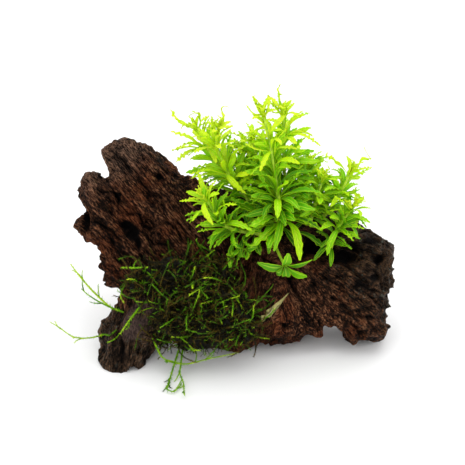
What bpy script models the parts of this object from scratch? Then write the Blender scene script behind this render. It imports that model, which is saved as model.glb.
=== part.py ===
"""Downoi on driftwood: a crinkle-leaved aquarium plant and a clump of moss on a weathered piece of bogwood.

The wood is a thick slab whose broad face leans back from upright. All of it is modelled in the frame of that
face: X across the face, Y up it and Z proud of its middle plane. An empty then stands the whole on the floor.
Lists of places are in millimetres in that frame. Everything else is in metres.
"""

import math
import random
from typing import NamedTuple

import bmesh
import bpy
import numpy as np
from mathutils import Matrix, Vector, noise
from mathutils.bvhtree import BVHTree

MM = 0.001
# Pieces that meet keep a hairline between them. A piece that is fitted against others keeps this much of it.
GAP = 0.3 * MM
CLEARANCE = 0.1 * MM
WELD = 0.001 * MM
SHARP_EDGE = math.radians(50)

# How the slab stands: its face leans back, and its reference point is this far above the floor.
FACE_LEAN = math.radians(30)
FACE_HEIGHT = 58 * MM
FACE = Matrix.Translation((0, 0, FACE_HEIGHT)) @ Matrix.Rotation(math.pi / 2 - FACE_LEAN, 4, "X")
UPWARDS = Vector((0, math.cos(FACE_LEAN), math.sin(FACE_LEAN)))

# The ragged edge of the slab, clockwise from the top of the tallest prong.
LEFT_LIMB_EDGE = [
    (-62, 52), (-56, 50), (-51, 47), (-48, 46), (-40, 44), (-38, 42), (-34, 39), (-30, 34), (-26, 31),
    (-18, 28), (0, 20), (14, 4), (6, -30), (-12, -58), (-30, -60), (-48, -50), (-58, -40), (-62, -33),
    (-64, -29), (-66, -29), (-68, -27), (-68, -21), (-71, -19), (-72, -16), (-73, -11), (-75, -7),
    (-80, -4), (-83, 0), (-85, 6), (-83, 9), (-80, 11), (-78, 12), (-80, 15), (-83, 17), (-85, 21),
    (-84, 26), (-83, 29), (-79, 33), (-74, 32), (-71, 30), (-68, 33), (-68, 36), (-70, 40), (-71, 44),
    (-68, 48), (-68, 50),
]
RIGHT_LIMB_EDGE = [
    (-20, 26), (0, 20), (15, 16), (37, 14), (62, 13), (67, 10), (70, 5), (76, 2), (82, -1), (85, -5),
    (84, -7), (87, -11), (87, -14), (85, -19), (87, -25), (90, -28), (89, -32), (86, -33), (85, -39),
    (87, -44), (82, -46), (82, -48), (85, -52), (85, -56), (81, -58), (74, -59), (69, -58), (66, -60),
    (63, -60), (60, -56), (55, -51), (51, -51), (52, -53), (48, -57), (40, -56), (35, -60), (31, -59),
    (27, -61), (20, -60), (4, -64), (-10, -64), (-26, -61), (-36, -50), (-30, -20),
]
LEFT_LIMB_DEPTH = (-15, 11)
RIGHT_LIMB_DEPTH = (-23, 13)
EDGE_ROUNDING = 15 * MM
EDGE_THICKNESS = 0.34

# Swellings of the slab: centre and radii.
SWELLINGS = [
    ((-6, -34, 6), (40, 26, 15)),
    ((8, -16, -16), (62, 30, 19)),
    ((-48, 6, -4), (30, 20, 15)),
    ((66, -26, -2), (23, 19, 18)),
    ((76, -9, -4), (12, 10, 14)),
]

# Stubs: points along the middle with the radius there.
FOOT = [
    ((-40, -26, 0), 14),
    ((-49, -42, 2), 15),
    ((-57, -56, 3), 14.5),
    ((-60, -70, 2), 13),
    ((-61, -84, 2), 12.5),
]
BACK_ROOT = [((8, -8, -8), 22), ((4, -18, -28), 19), ((0, -28, -46), 16), ((-3, -38, -62), 13)]

# Cracks along the grain: both ends, half width and depth. A crack is deepest in its middle, as half a wave,
# and CRACK_WAVE is the part of the half wave that it takes.
CRACK_WAVE = (0.12, 0.92)
CRACKS = [
    ((-72, 31), (-37, -14), 1.8, 5.0),
    ((-60, 34), (-22, -8), 1.4, 2.6),
    ((-80, 14), (-58, -8), 1.6, 4.0),
    ((-46, 30), (-12, -2), 1.6, 2.4),
    ((10, -6), (44, -40), 2.2, 2.6),
    ((34, -4), (78, -30), 2.4, 3.2),
    ((52, -2), (83, -16), 1.8, 3.0),
]
# Hollows worn into the face: centre, radii and depth.
HOLLOWS = [
    ((-45, 3), (4.5, 6.5), 9),
    ((-30, 30), (2.5, 3), 5),
    ((-78, 6), (2.6, 6), 7),
    ((45, -9), (11, 6), 9),
    ((62, -14), (7, 4), 4),
]
# The grain runs straight down the left limb. Between the two places in x it turns into the right limb's fan,
# spread round GRAIN_FAN, and ridges keep their spacing at FAN_RADIUS from there.
GRAIN_LEFT = (0.66, -0.75)
GRAIN_TURNS = (2, 26)
GRAIN_FAN = (10, 8)
FAN_RADIUS = 45 * MM
RIDGE_PATTERN = Vector((3.1, 7.7, 1.3))
RIDGE_LENGTH = 46 * MM
RIDGE_SPACING = 9 * MM
RIDGE_HEIGHT = 2.2 * MM
LUMP_SIZE = 26 * MM
LUMP_HEIGHT = 2.0 * MM
WOOD_VOXEL = 1.5 * MM
WOOD_TRIANGLES = 1900

# Where the limbs part: a point on each cut and the direction in which the first limb lies.
FORK = ((-4, -20, 0), (-0.99, 0.11, 0))
FOOT_FORK = ((-50, -53, 2), (-0.6, -0.75, 0.28))
ROOT_FORK = ((3, -20, -31), (0, 0.05, -1))

# The moss: lumps laid on the face at x, y with their radii.
MOSS_LUMPS = [
    ((-44, -27), (12, 9, 7)),
    ((-30, -24), (15, 11, 8)),
    ((-13, -28), (15, 13, 9)),
    ((-26, -42), (16, 14, 9)),
    ((-6, -42), (17, 14, 9)),
    ((3, -50), (10, 9, 6)),
    ((-18, -55), (18, 8, 8)),
    ((-36, -50), (9, 11, 8)),
]
MOSS_SEAT = 1.5 * MM
MOSS_VOXEL = 1.5 * MM
MOSS_TUFT_SIZE = 7 * MM
MOSS_TUFT_HEIGHT = 3 * MM
MOSS_TRIANGLES = 380

# Anything this far proud of the face is clear of the wood, and anything lower than the back is past its edge.
CLEAR_OF_FACE = 120 * MM
BEHIND_FACE = -10 * MM

# Strands of moss that trail from the clump: radius, and the route from the tip to the end that is attached.
# A point with x and y lies on the wood or moss, and one with three hangs free. The attached end is drawn to
# the nearest wood or moss.
STRAND_STEP = 5 * MM
LIFT_STEP = 0.2 * MM
MOSS_STRANDS = [
    (0.5, [(-98, -48, 15), (-93, -51, 14), (-86, -56, 13), (-78, -57, 10), (-72, -56, 6)]),
    (0.9, [(-87, -17, 14), (-81, -25, 13), (-75, -32, 11), (-69, -38, 9), (-64, -42, 6)]),
    (0.8, [(-80, -30, 22), (-74, -35, 21), (-68, -38, 19), (-62, -42, 15)]),
    (0.9, [(-60, -54), (-55, -47), (-51, -42)]),
    (0.8, [(-60, -19), (-53, -18), (-48, -20)]),
    (0.8, [(3, -12), (5, -18), (8, -26), (7, -29), (0, -31)]),
    (0.8, [(-27, -80, 25), (-31, -83, 31), (-34, -82, 30), (-33, -77, 20), (-33, -68, 14)]),
    (0.8, [(-25, -84, 33), (-26, -79, 24), (-28, -75, 19), (-29, -67, 14)]),
    (0.8, [(3, -64, 18), (-12, -67, 18), (-26, -70, 18), (-37, -67, 17), (-42, -61, 15)]),
    (0.7, [(22, -28), (15, -35), (9, -41)]),
]

# The withered leaf that lies on the wood: places along it, with its width there.
WITHERED_LEAF = [((30, -33), 0.8), ((27, -36), 1.6), ((24, -39), 4), ((20, -42), 5), ((15, -46), 3)]

# The plant's stems, and the collars and buds on them that its leaves grow from in rows. A stem is straight
# for COLLAR_PASSAGE on each side of a collar's middle. ROW_RISE is how much steeper the second row's leaves
# rise, and ROW_STAGGER how far round they are, as a share of the space between two leaves.
STEM_RADIUS = 1.0 * MM
COLLAR_THICKNESS = 1.0 * MM
BUD_RADIUS = 1.5 * MM
ROW_HEIGHT = 1.5 * MM
ROW_RISE = math.radians(28)
ROW_STAGGER = 0.45
COLLAR_PASSAGE = 1.8 * MM

# A leaf is its foot on the collar and then stations: how far along each is, and what share of its full width
# it has there. The full width is LEAF_WIDTH and a share of its length. LEAF_BEND is where the bend lies.
LEAF_FOOT = 2.0 * MM
LEAF_WIDTH = 1.4 * MM
LEAF_WIDTH_SHARE = 0.17
LEAF_THICKNESS = 0.7 * MM
LEAF_MARGIN = 0.15 * MM
LEAF_BEND = 0.45
LEAF_STATIONS = ((0.32, 0.75), (0.68, 1.0), (1.0, 0.25))
PLAIN_STATIONS = ((0.5, 1.0), (1.0, 0.25))

# How leaves vary, in radians but for the lengths. A leaf that would touch something is tried again, each time
# a share shorter and a little further off its course.
CHANCE = random.Random(11)
LEAF_TWIST = 0.35
AIMED_LIFT = (math.radians(30), math.radians(60))
FILLING_LIFT = (math.radians(15), math.radians(35))
FILLING_LENGTH = (0.85, 1.05)
FILLING_TURN = 0.16
FILLING_RISE = 0.10
LEAF_TRIES = 24
TRY_SHORTER = 0.02
TRY_STRAY = 0.12 * MM
TRY_RISE = 0.02


class WhorlPlan(NamedTuple):
    """Where a whorl is, its rows of leaves, the leaves in a row, their length, the angle in degrees that the
    lowest row rises at, and the tips of the leaves that show most."""

    centre: tuple
    rows: int
    leaves: int
    length: float
    rise: float
    tips: list


# Each shoot's root and its whorls from the bottom up. The last one is the bud.
SHOOTS = [
    # Tall, at the left.
    ((16, 8, 8), [
        WhorlPlan((-2, 31, 24), 2, 5, 18, 12, [(-20, 36, 30), (10, 39, 30), (7, 20, 36), (-22, 29, 26)]),
        WhorlPlan((-8, 45, 31), 2, 5, 14, 25, [(-20, 42, 36), (7, 55, 24), (2, 43, 38)]),
        WhorlPlan((-8, 51, 35), 1, 6, 11, 60, [(-5, 61, 40), (-11, 60, 38), (-3, 65, 32)]),
    ]),
    # Far left.
    ((4, 20, 2), [
        WhorlPlan((-13, 45, 16), 2, 5, 18, 12, [(-30, 57, 18), (-32, 46, 24), (-30, 38, 20), (0, 53, 8)]),
        WhorlPlan((-18, 54, 21), 1, 6, 12, 50, [(-33, 65, 22), (-20, 66, 26), (-12, 61, 20)]),
    ]),
    # Tall, in the middle, with the largest whorl.
    ((26, 0, 14), [
        WhorlPlan((25, 6, 20), 2, 7, 26, 2, [
            (-1, 18, 24), (7, -2, 32), (8, -9, 34), (21, -10, 38), (35, -13, 38), (47, 1, 30),
            (49, 12, 24),
        ]),
        WhorlPlan((24, 18, 28), 2, 5, 21, 20, [(13, 36, 40), (36, 30, 40), (6, 30, 30), (44, 21, 30)]),
        WhorlPlan((20, 42, 40), 2, 5, 17, 28, [
            (15, 52, 46), (24, 53, 48), (6, 43, 44), (32, 42, 44), (13, 32, 50),
        ]),
        WhorlPlan((16, 58, 48), 1, 7, 13, 55, [
            (6, 63, 50), (11, 70, 52), (18, 69, 54), (22, 62, 50), (10, 57, 56),
        ]),
    ]),
    # Tall, behind the middle one.
    ((31, 4, 6), [
        WhorlPlan((27, 36, 26), 2, 5, 19, 15, [(45, 38, 28), (16, 46, 20), (41, 30, 30)]),
        WhorlPlan((27, 50, 34), 2, 5, 16, 25, [(42, 51, 34), (46, 46, 36), (13, 54, 34)]),
        WhorlPlan((26, 60, 40), 1, 6, 12, 55, [(24, 75, 44), (35, 60, 44), (20, 69, 38), (32, 66, 38)]),
    ]),
    # Right.
    ((46, 4, 8), [
        WhorlPlan((56, 19, 22), 2, 5, 14, 20, [(47, 29, 26), (66, 24, 24), (62, 14, 32)]),
        WhorlPlan((61, 30, 29), 1, 6, 12, 50, [(49, 41, 32), (72, 42, 32), (61, 38, 36)]),
    ]),
    # Low at the right.
    ((54, -5, 12), [
        WhorlPlan((56, 2, 19), 2, 5, 13, 12, [(48, -10, 32), (66, -2, 26), (46, 2, 34), (62, -5, 32)]),
        WhorlPlan((62, 12, 27), 1, 6, 12, 45, [(72, 14, 30), (63, 22, 32), (54, 20, 34)]),
    ]),
    # Low at the left.
    ((16, -1, 15), [
        WhorlPlan((-3, 3, 27), 1, 6, 15, 15, [(-18, 2, 34), (10, 3, 42), (-10, -2, 38), (-6, 16, 38)]),
        WhorlPlan((-13, 16, 36), 1, 6, 13, 35, [
            (-27, 17, 40), (-18, 30, 36), (-10, 28, 36), (-11, 4, 48), (-20, 2, 44),
        ]),
    ]),
    # Low, over the face.
    ((21, -3, 15), [
        WhorlPlan((27, -17, 27), 1, 6, 12, 25, [(14, -16, 34), (40, -14, 32), (38, -23, 36), (30, -8, 40)]),
    ]),
    # Lowest at the left.
    ((14, -4, 15), [
        WhorlPlan((7, -9, 25), 1, 5, 10, 25, [(-2, -12, 30), (8, -16, 34), (0, -4, 34)]),
    ]),
    # Behind, at the right.
    ((37, 7, 2), [
        WhorlPlan((38, 22, 14), 2, 5, 19, 15, [(50, 29, 12), (28, 25, 20)]),
        WhorlPlan((40, 34, 20), 1, 6, 14, 50, [(41, 44, 24), (47, 42, 22), (33, 39, 26)]),
    ]),
    # Behind, at the left.
    ((11, 15, 0), [
        WhorlPlan((8, 28, 12), 2, 5, 18, 15, [(-2, 25, 10), (0, 34, 18)]),
        WhorlPlan((6, 41, 20), 1, 6, 14, 45, [(1, 50, 22), (-3, 44, 22), (14, 49, 22)]),
    ]),
    # Right of the middle.
    ((41, 2, 8), [
        WhorlPlan((44, 15, 20), 2, 5, 17, 15, [(52, 10, 26), (55, 23, 22)]),
        WhorlPlan((47, 26, 26), 1, 6, 12, 50, [(45, 34, 30), (53, 32, 28)]),
    ]),
    # Behind the middle.
    ((17, 13, 2), [
        WhorlPlan((14, 32, 18), 2, 5, 18, 20, [(3, 39, 20), (25, 34, 18)]),
        WhorlPlan((11, 47, 28), 2, 5, 14, 30, [(3, 53, 30), (6, 57, 28), (19, 51, 26)]),
    ]),
]


def fresh_scene():
    """Empties the file and makes the two collections."""
    for obj in list(bpy.data.objects):
        bpy.data.objects.remove(obj)
    made = []
    for name in ("downoi_on_driftwood", "cutters"):
        collection = bpy.data.collections.new(name)
        bpy.context.scene.collection.children.link(collection)
        made.append(collection)
    return made


PARTS, CUTTERS = fresh_scene()


def material(name, colour, roughness):
    made = bpy.data.materials.new(name)
    made.use_nodes = True
    shader = made.node_tree.nodes["Principled BSDF"]
    shader.inputs["Base Color"].default_value = (*colour, 1)
    shader.inputs["Roughness"].default_value = roughness
    shader.inputs["Metallic"].default_value = 0
    return made


WOOD = material("bogwood", (0.045, 0.018, 0.012), 0.75)
LEAF = material("leaf", (0.32, 0.58, 0.03), 0.45)
STEM = material("stem", (0.45, 0.60, 0.08), 0.45)
MOSS = material("moss", (0.05, 0.10, 0.012), 0.8)
MOSS_SHOOT = material("moss_shoot", (0.16, 0.34, 0.03), 0.6)
WITHERED = material("withered", (0.33, 0.34, 0.17), 0.7)


def place(name, mesh, collection=PARTS):
    obj = bpy.data.objects.new(name, mesh)
    collection.objects.link(obj)
    return obj


def piece(name, mesh, made_of):
    """A piece of the object, shaded smooth but for its sharp edges."""
    mesh.shade_smooth()
    mesh.set_sharp_from_angle(angle=SHARP_EDGE)
    mesh.materials.append(made_of)
    return place(name, mesh)


def helper(name, mesh):
    """An object that shapes others and isn't a piece itself."""
    obj = place(name, mesh, CUTTERS)
    obj.hide_render = True
    obj.display_type = "WIRE"
    return obj


def mesh_of(name, body):
    """The bmesh as a mesh, and the bmesh freed."""
    mesh = bpy.data.meshes.new(name)
    body.to_mesh(mesh)
    body.free()
    return mesh


def settled(obj, name):
    """The object's evaluated mesh as a new one in its parent's frame, welded, and the object gone."""
    bpy.context.view_layer.update()
    evaluated = obj.evaluated_get(bpy.context.evaluated_depsgraph_get())
    mesh = bpy.data.meshes.new_from_object(evaluated)
    mesh.name = name
    mesh.transform(obj.matrix_world)
    bpy.data.objects.remove(obj)
    body = bmesh.new()
    body.from_mesh(mesh)
    bmesh.ops.remove_doubles(body, verts=body.verts, dist=WELD)
    body.to_mesh(mesh)
    body.free()
    return mesh


def slab(name, outline, depth):
    """A flat-sided slab of this outline, from the back to the front depth."""
    back, front = depth
    curve = bpy.data.curves.new(name, "CURVE")
    curve.dimensions = "2D"
    curve.fill_mode = "BOTH"
    curve.extrude = (front - back) / 2 * MM
    spline = curve.splines.new("POLY")
    spline.points.add(len(outline) - 1)
    for point, (x, y) in zip(spline.points, outline):
        point.co = (x * MM, y * MM, 0, 1)
    spline.use_cyclic_u = True
    obj = helper(name, curve)
    obj.location.z = (front + back) / 2 * MM
    return settled(obj, name)


def tube(name, path, bevel=1):
    """A round tube along a path of points with radii, all in metres, its ends capped."""
    curve = bpy.data.curves.new(name, "CURVE")
    curve.dimensions = "3D"
    curve.bevel_depth = 1
    curve.bevel_resolution = bevel
    curve.use_fill_caps = True
    spline = curve.splines.new("POLY")
    spline.points.add(len(path) - 1)
    for point, (place_at, radius) in zip(spline.points, path):
        point.co = (*place_at, 1)
        point.radius = radius
    return settled(helper(name, curve), name)


def stub(name, path):
    return tube(name, [(Vector(point) * MM, radius * MM) for point, radius in path], bevel=6)


def swelling(name, centre, radii):
    body = bmesh.new()
    bmesh.ops.create_icosphere(body, subdivisions=3, radius=MM)
    bmesh.ops.scale(body, vec=radii, verts=body.verts)
    bmesh.ops.translate(body, vec=Vector(centre) * MM, verts=body.verts)
    return mesh_of(name, body)


def fused(name, meshes, voxel, smoothing):
    """Closed meshes that overlap, made one skin on a grid of this fineness and smoothed."""
    body = bmesh.new()
    for mesh in meshes:
        body.from_mesh(mesh)
    obj = helper(name, mesh_of(name, body))
    remesh = obj.modifiers.new("fuse", "REMESH")
    remesh.mode = "VOXEL"
    remesh.voxel_size = voxel
    smooth = obj.modifiers.new("smooth", "SMOOTH")
    smooth.factor = 0.5
    smooth.iterations = smoothing
    return settled(obj, name)


def depth_inside(points, outline):
    """How far each point lies from the outline, seen square on to the face."""
    start = np.array(outline, float) * MM
    step = np.roll(start, -1, axis=0) - start
    nearest = np.full(len(points), np.inf)
    for origin, edge in zip(start, step):
        along = np.clip((points[:, :2] - origin) @ edge / (edge @ edge), 0, 1)
        away = points[:, :2] - origin - along[:, None] * edge
        nearest = np.minimum(nearest, np.hypot(away[:, 0], away[:, 1]))
    return nearest


def points_of(mesh):
    points = np.empty(len(mesh.vertices) * 3)
    mesh.vertices.foreach_get("co", points)
    return points.reshape(-1, 3)


def thinned(mesh, outline, depth):
    """Rounds a slab off towards its edge, as a worn plank is."""
    points = points_of(mesh)
    middle = (depth[0] + depth[1]) / 2 * MM
    inside = np.clip(depth_inside(points, outline) / EDGE_ROUNDING, 0, 1)
    share = EDGE_THICKNESS + (1 - EDGE_THICKNESS) * np.sqrt(1 - (1 - inside) ** 2)
    points[:, 2] = middle + (points[:, 2] - middle) * share
    mesh.vertices.foreach_set("co", points.ravel())
    return mesh


def limb_blank(name, outline, depth):
    blank = fused(name, [slab(name, outline, depth)], WOOD_VOXEL, 1)
    return thinned(blank, outline, depth)


def across_grain(x, y):
    """(along, across) the grain at a place on the face: straight on the left limb, a fan on the right one."""
    along = x * GRAIN_LEFT[0] + y * GRAIN_LEFT[1]
    across = x * GRAIN_LEFT[1] - y * GRAIN_LEFT[0]
    fan_x, fan_y = x - GRAIN_FAN[0] * MM, y - GRAIN_FAN[1] * MM
    radius = math.hypot(fan_x, fan_y)
    angle = math.atan2(fan_y, fan_x)
    start, end = GRAIN_TURNS
    share = min(max((x / MM - start) / (end - start), 0), 1)
    return along + (radius - along) * share, across + (-angle * FAN_RADIUS - across) * share


def crack_depth(x, y):
    """How deep the cracks and hollows are at a place on the face."""
    here = Vector((x, y)) / MM
    deepest = 0
    for start, end, half_width, depth in CRACKS:
        start, end = Vector(start), Vector(end)
        along = (here - start).dot(end - start) / (end - start).length_squared
        share = min(max(along, 0), 1)
        away = (here - start.lerp(end, share)).length / half_width
        taper = math.sin(math.pi * (CRACK_WAVE[0] + (CRACK_WAVE[1] - CRACK_WAVE[0]) * share))
        deepest = max(deepest, depth * taper * math.exp(-away * away))
    for centre, radii, depth in HOLLOWS:
        away = Vector(((here.x - centre[0]) / radii[0], (here.y - centre[1]) / radii[1])).length
        deepest = max(deepest, depth * math.exp(-(away**4)))
    return deepest * MM


def weathered(mesh):
    """Ridges along the grain and soft lumps all over, and cracks and hollows in the face."""
    for vertex, normal in zip(mesh.vertices, [v.normal.copy() for v in mesh.vertices]):
        x, y, z = vertex.co
        along, across = across_grain(x, y)
        grain = Vector((along / RIDGE_LENGTH, across / RIDGE_SPACING, z / (3 * RIDGE_SPACING)))
        ridge = noise.noise(grain + RIDGE_PATTERN) * RIDGE_HEIGHT
        lump = noise.fractal(vertex.co / LUMP_SIZE, 1.0, 2.0, 2) * LUMP_HEIGHT
        facing = min(max(normal.z, 0), 1)
        vertex.co += normal * (ridge + lump) - Vector((0, 0, crack_depth(x, y) * facing))
    return mesh


def thinned_out(obj, triangles):
    """Keeps the form of a dense skin with about this many triangles."""
    now = sum(len(face.vertices) - 2 for face in obj.data.polygons)
    decimate = obj.modifiers.new("fewer faces", "DECIMATE")
    decimate.ratio = triangles / now
    decimate.use_collapse_triangulate = True


def carve_wood():
    """The whole piece of wood as one closed skin."""
    blanks = [
        limb_blank("left_blank", LEFT_LIMB_EDGE, LEFT_LIMB_DEPTH),
        limb_blank("right_blank", RIGHT_LIMB_EDGE, RIGHT_LIMB_DEPTH),
        stub("foot_blank", FOOT),
        stub("root_blank", BACK_ROOT),
    ]
    blanks += [swelling("swelling", centre, radii) for centre, radii in SWELLINGS]
    skin = weathered(fused("wood_skin", blanks, WOOD_VOXEL, 2))
    obj = helper("wood_skin", skin)
    thinned_out(obj, WOOD_TRIANGLES)
    return settled(obj, "whole_wood")


def half_space(name, point, direction, shift):
    """A big block that fills the side of a plane that direction points to, moved along it by shift."""
    body = bmesh.new()
    bmesh.ops.create_cube(body, size=1)
    bmesh.ops.translate(body, vec=(0, 0, 0.5), verts=body.verts)
    mesh = mesh_of(name, body)
    direction = Vector(direction).normalized()
    turn = direction.to_track_quat("Z", "Y").to_matrix().to_4x4()
    mesh.transform(Matrix.Translation(Vector(point) * MM + direction * shift) @ turn)
    return mesh


def boolean(obj, name, other, operation):
    modifier = obj.modifiers.new(name, "BOOLEAN")
    modifier.operation = operation
    modifier.object = other


def split_wood(whole):
    """Cuts the wood at its main forks, with a hairline between the limbs, and flat where it stands."""
    floor = helper("below_floor", half_space("below_floor", (0, 0, 0), -UPWARDS, FACE_HEIGHT))
    cuts = {
        "driftwood_left_limb": [(FORK, 1), (FOOT_FORK, -1), (ROOT_FORK, -1)],
        "driftwood_right_limb": [(FORK, -1), (FOOT_FORK, -1), (ROOT_FORK, -1)],
        "driftwood_foot": [(FOOT_FORK, 1)],
        "driftwood_back_root": [(ROOT_FORK, 1), (FOOT_FORK, -1)],
    }
    for name, sides in cuts.items():
        obj = piece(name, whole.copy(), WOOD)
        boolean(obj, "floor", floor, "DIFFERENCE")
        for index, (fork, side) in enumerate(sides):
            block = helper(f"{name}_fork_{index}", half_space("fork", *fork, side * GAP / 2))
            boolean(obj, f"fork {index}", block, "INTERSECT" if side > 0 else "DIFFERENCE")


def tree_of(*meshes):
    """The surface of these meshes, for finding what meets it."""
    body = bmesh.new()
    for mesh in meshes:
        body.from_mesh(mesh)
    tree = BVHTree.FromBMesh(body)
    body.free()
    return tree


def touches(tree, obstacles):
    return any(tree.overlap(other) for other in obstacles)


def surface_under(x, y, ground, margin):
    """The place this far proud of the ground at x, y on the face, or None off its edge."""
    hit = ground.ray_cast(Vector((x, y, CLEAR_OF_FACE)), Vector((0, 0, -1)))[0]
    return hit + Vector((0, 0, margin)) if hit and hit.z > BEHIND_FACE else None


def inflated(mesh, amount):
    grown = mesh.copy()
    for vertex, normal in zip(grown.vertices, [v.normal.copy() for v in mesh.vertices]):
        vertex.co += normal * amount
    return grown


def clears(mesh, obstacles):
    """Whether the mesh keeps clear of everything placed so far. If so, it becomes an obstacle itself."""
    if touches(tree_of(inflated(mesh, CLEARANCE)), obstacles):
        return False
    obstacles.append(tree_of(mesh))
    return True


def largest_body(mesh):
    """Keeps the biggest of the mesh's separate shells."""
    body = bmesh.new()
    body.from_mesh(mesh)
    unseen = set(body.verts)
    shells = []
    while unseen:
        shell = set()
        edge = [unseen.pop()]
        while edge:
            vertex = edge.pop()
            shell.add(vertex)
            near = [link.other_vert(vertex) for link in vertex.link_edges]
            edge += [other for other in near if other in unseen]
            unseen.difference_update(near)
        shells.append(shell)
    shells.sort(key=len)
    spare = [vertex for shell in shells[:-1] for vertex in shell]
    bmesh.ops.delete(body, geom=spare, context="VERTS")
    body.to_mesh(mesh)
    body.free()
    return mesh


def grow_moss(whole, ground):
    """The clump of moss: lumps laid on the wood, fused, and hollowed by the wood under them."""
    lumps = []
    for (x, y), radii in MOSS_LUMPS:
        centre = surface_under(x * MM, y * MM, ground, MOSS_SEAT)
        lumps.append(swelling("lump", centre / MM, radii))
    skin = fused("moss_skin", lumps, MOSS_VOXEL, 2)
    for vertex, normal in zip(skin.vertices, [v.normal.copy() for v in skin.vertices]):
        vertex.co += normal * noise.noise(vertex.co / MOSS_TUFT_SIZE) * MOSS_TUFT_HEIGHT
    obj = helper("moss_skin", skin)
    thinned_out(obj, MOSS_TRIANGLES)
    boolean(obj, "seat", helper("moss_seat", inflated(whole, GAP)), "DIFFERENCE")
    mesh = largest_body(settled(obj, "moss_clump"))
    piece("moss_clump", mesh, MOSS)
    return mesh


def smooth_route(points, spacing):
    """Points along a smooth curve through these ones."""
    ends = [points[0] * 2 - points[1]] + points + [points[-1] * 2 - points[-2]]
    route = []
    for before, start, end, after in zip(ends, ends[1:], ends[2:], ends[3:]):
        steps = max(1, round((end - start).length / spacing))
        for step in range(steps):
            t = step / steps
            bend = (end - before) * t + (before * 2 - start * 5 + end * 4 - after) * t**2
            route.append(start + (bend + (start * 3 - end * 3 + after - before) * t**3) / 2)
    return route + [points[-1]]


def seated(route, radius, ground):
    """The route's points in metres, those with only x and y on the wood or moss, the last one attached."""
    points = []
    for place_at in route:
        point = Vector((*place_at, 0)[:3]) * MM
        if len(place_at) == 2:
            point = surface_under(point.x, point.y, ground, radius + GAP)
        points.append(point)
    foot, normal = ground.find_nearest(points[-1])[:2]
    points[-1] = foot + normal * (radius + GAP)
    return points


def lay(name, route, radius, ground, obstacles):
    """A strand along the route, raised until it clears everything."""
    points = smooth_route(seated(route, radius, ground), STRAND_STEP)
    for point in points:
        seat = surface_under(point.x, point.y, ground, radius + GAP)
        if seat and seat.z > point.z:
            point.z = seat.z
    mesh = tube(name, [(point, radius) for point in points])
    while not clears(mesh, obstacles):
        for point in points:
            point.z += LIFT_STEP
        mesh = tube(name, [(point, radius) for point in points])
    piece(name, mesh, MOSS_SHOOT)


def withered_stations(ground, lift):
    """Centre, across, up, half width and half thickness at each station of the withered leaf."""
    height = LEAF_THICKNESS / 2 + GAP + lift
    centres = [surface_under(x * MM, y * MM, ground, height) for (x, y), width in WITHERED_LEAF]
    ends = [centres[0], *centres, centres[-1]]
    stations = []
    for centre, before, after, (place_at, width) in zip(centres, ends, ends[2:], WITHERED_LEAF):
        heading = (after - before).normalized()
        across = Vector((-heading.y, heading.x, 0)).normalized()
        stations.append((centre, across, heading.cross(across), width / 2 * MM, LEAF_THICKNESS / 2))
    return stations


def withered_leaf(ground, lift):
    """The withered leaf this far above the wood, drawn out of a block at its stalk."""
    stations = withered_stations(ground, lift)
    centre, across, up, half_width, half_thickness = stations[0]
    sides = (across * 2 * half_width, up.cross(across) * half_width, up * 2 * half_thickness)
    block = Matrix.Translation(centre) @ Matrix(sides).transposed().to_4x4()
    body = bmesh.new()
    bmesh.ops.create_cube(body, size=1, matrix=block)
    onwards = stations[1][0] - centre
    leaf_on(body, max(body.faces, key=lambda face: face.calc_center_median().dot(onwards)), stations)
    bmesh.ops.recalc_face_normals(body, faces=body.faces)
    return mesh_of("withered_leaf", body)


def drop_leaf(ground, obstacles):
    lift = 0
    mesh = withered_leaf(ground, lift)
    while not clears(mesh, obstacles):
        lift += LIFT_STEP
        mesh = withered_leaf(ground, lift)
    piece("withered_leaf", mesh, WITHERED)


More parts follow.
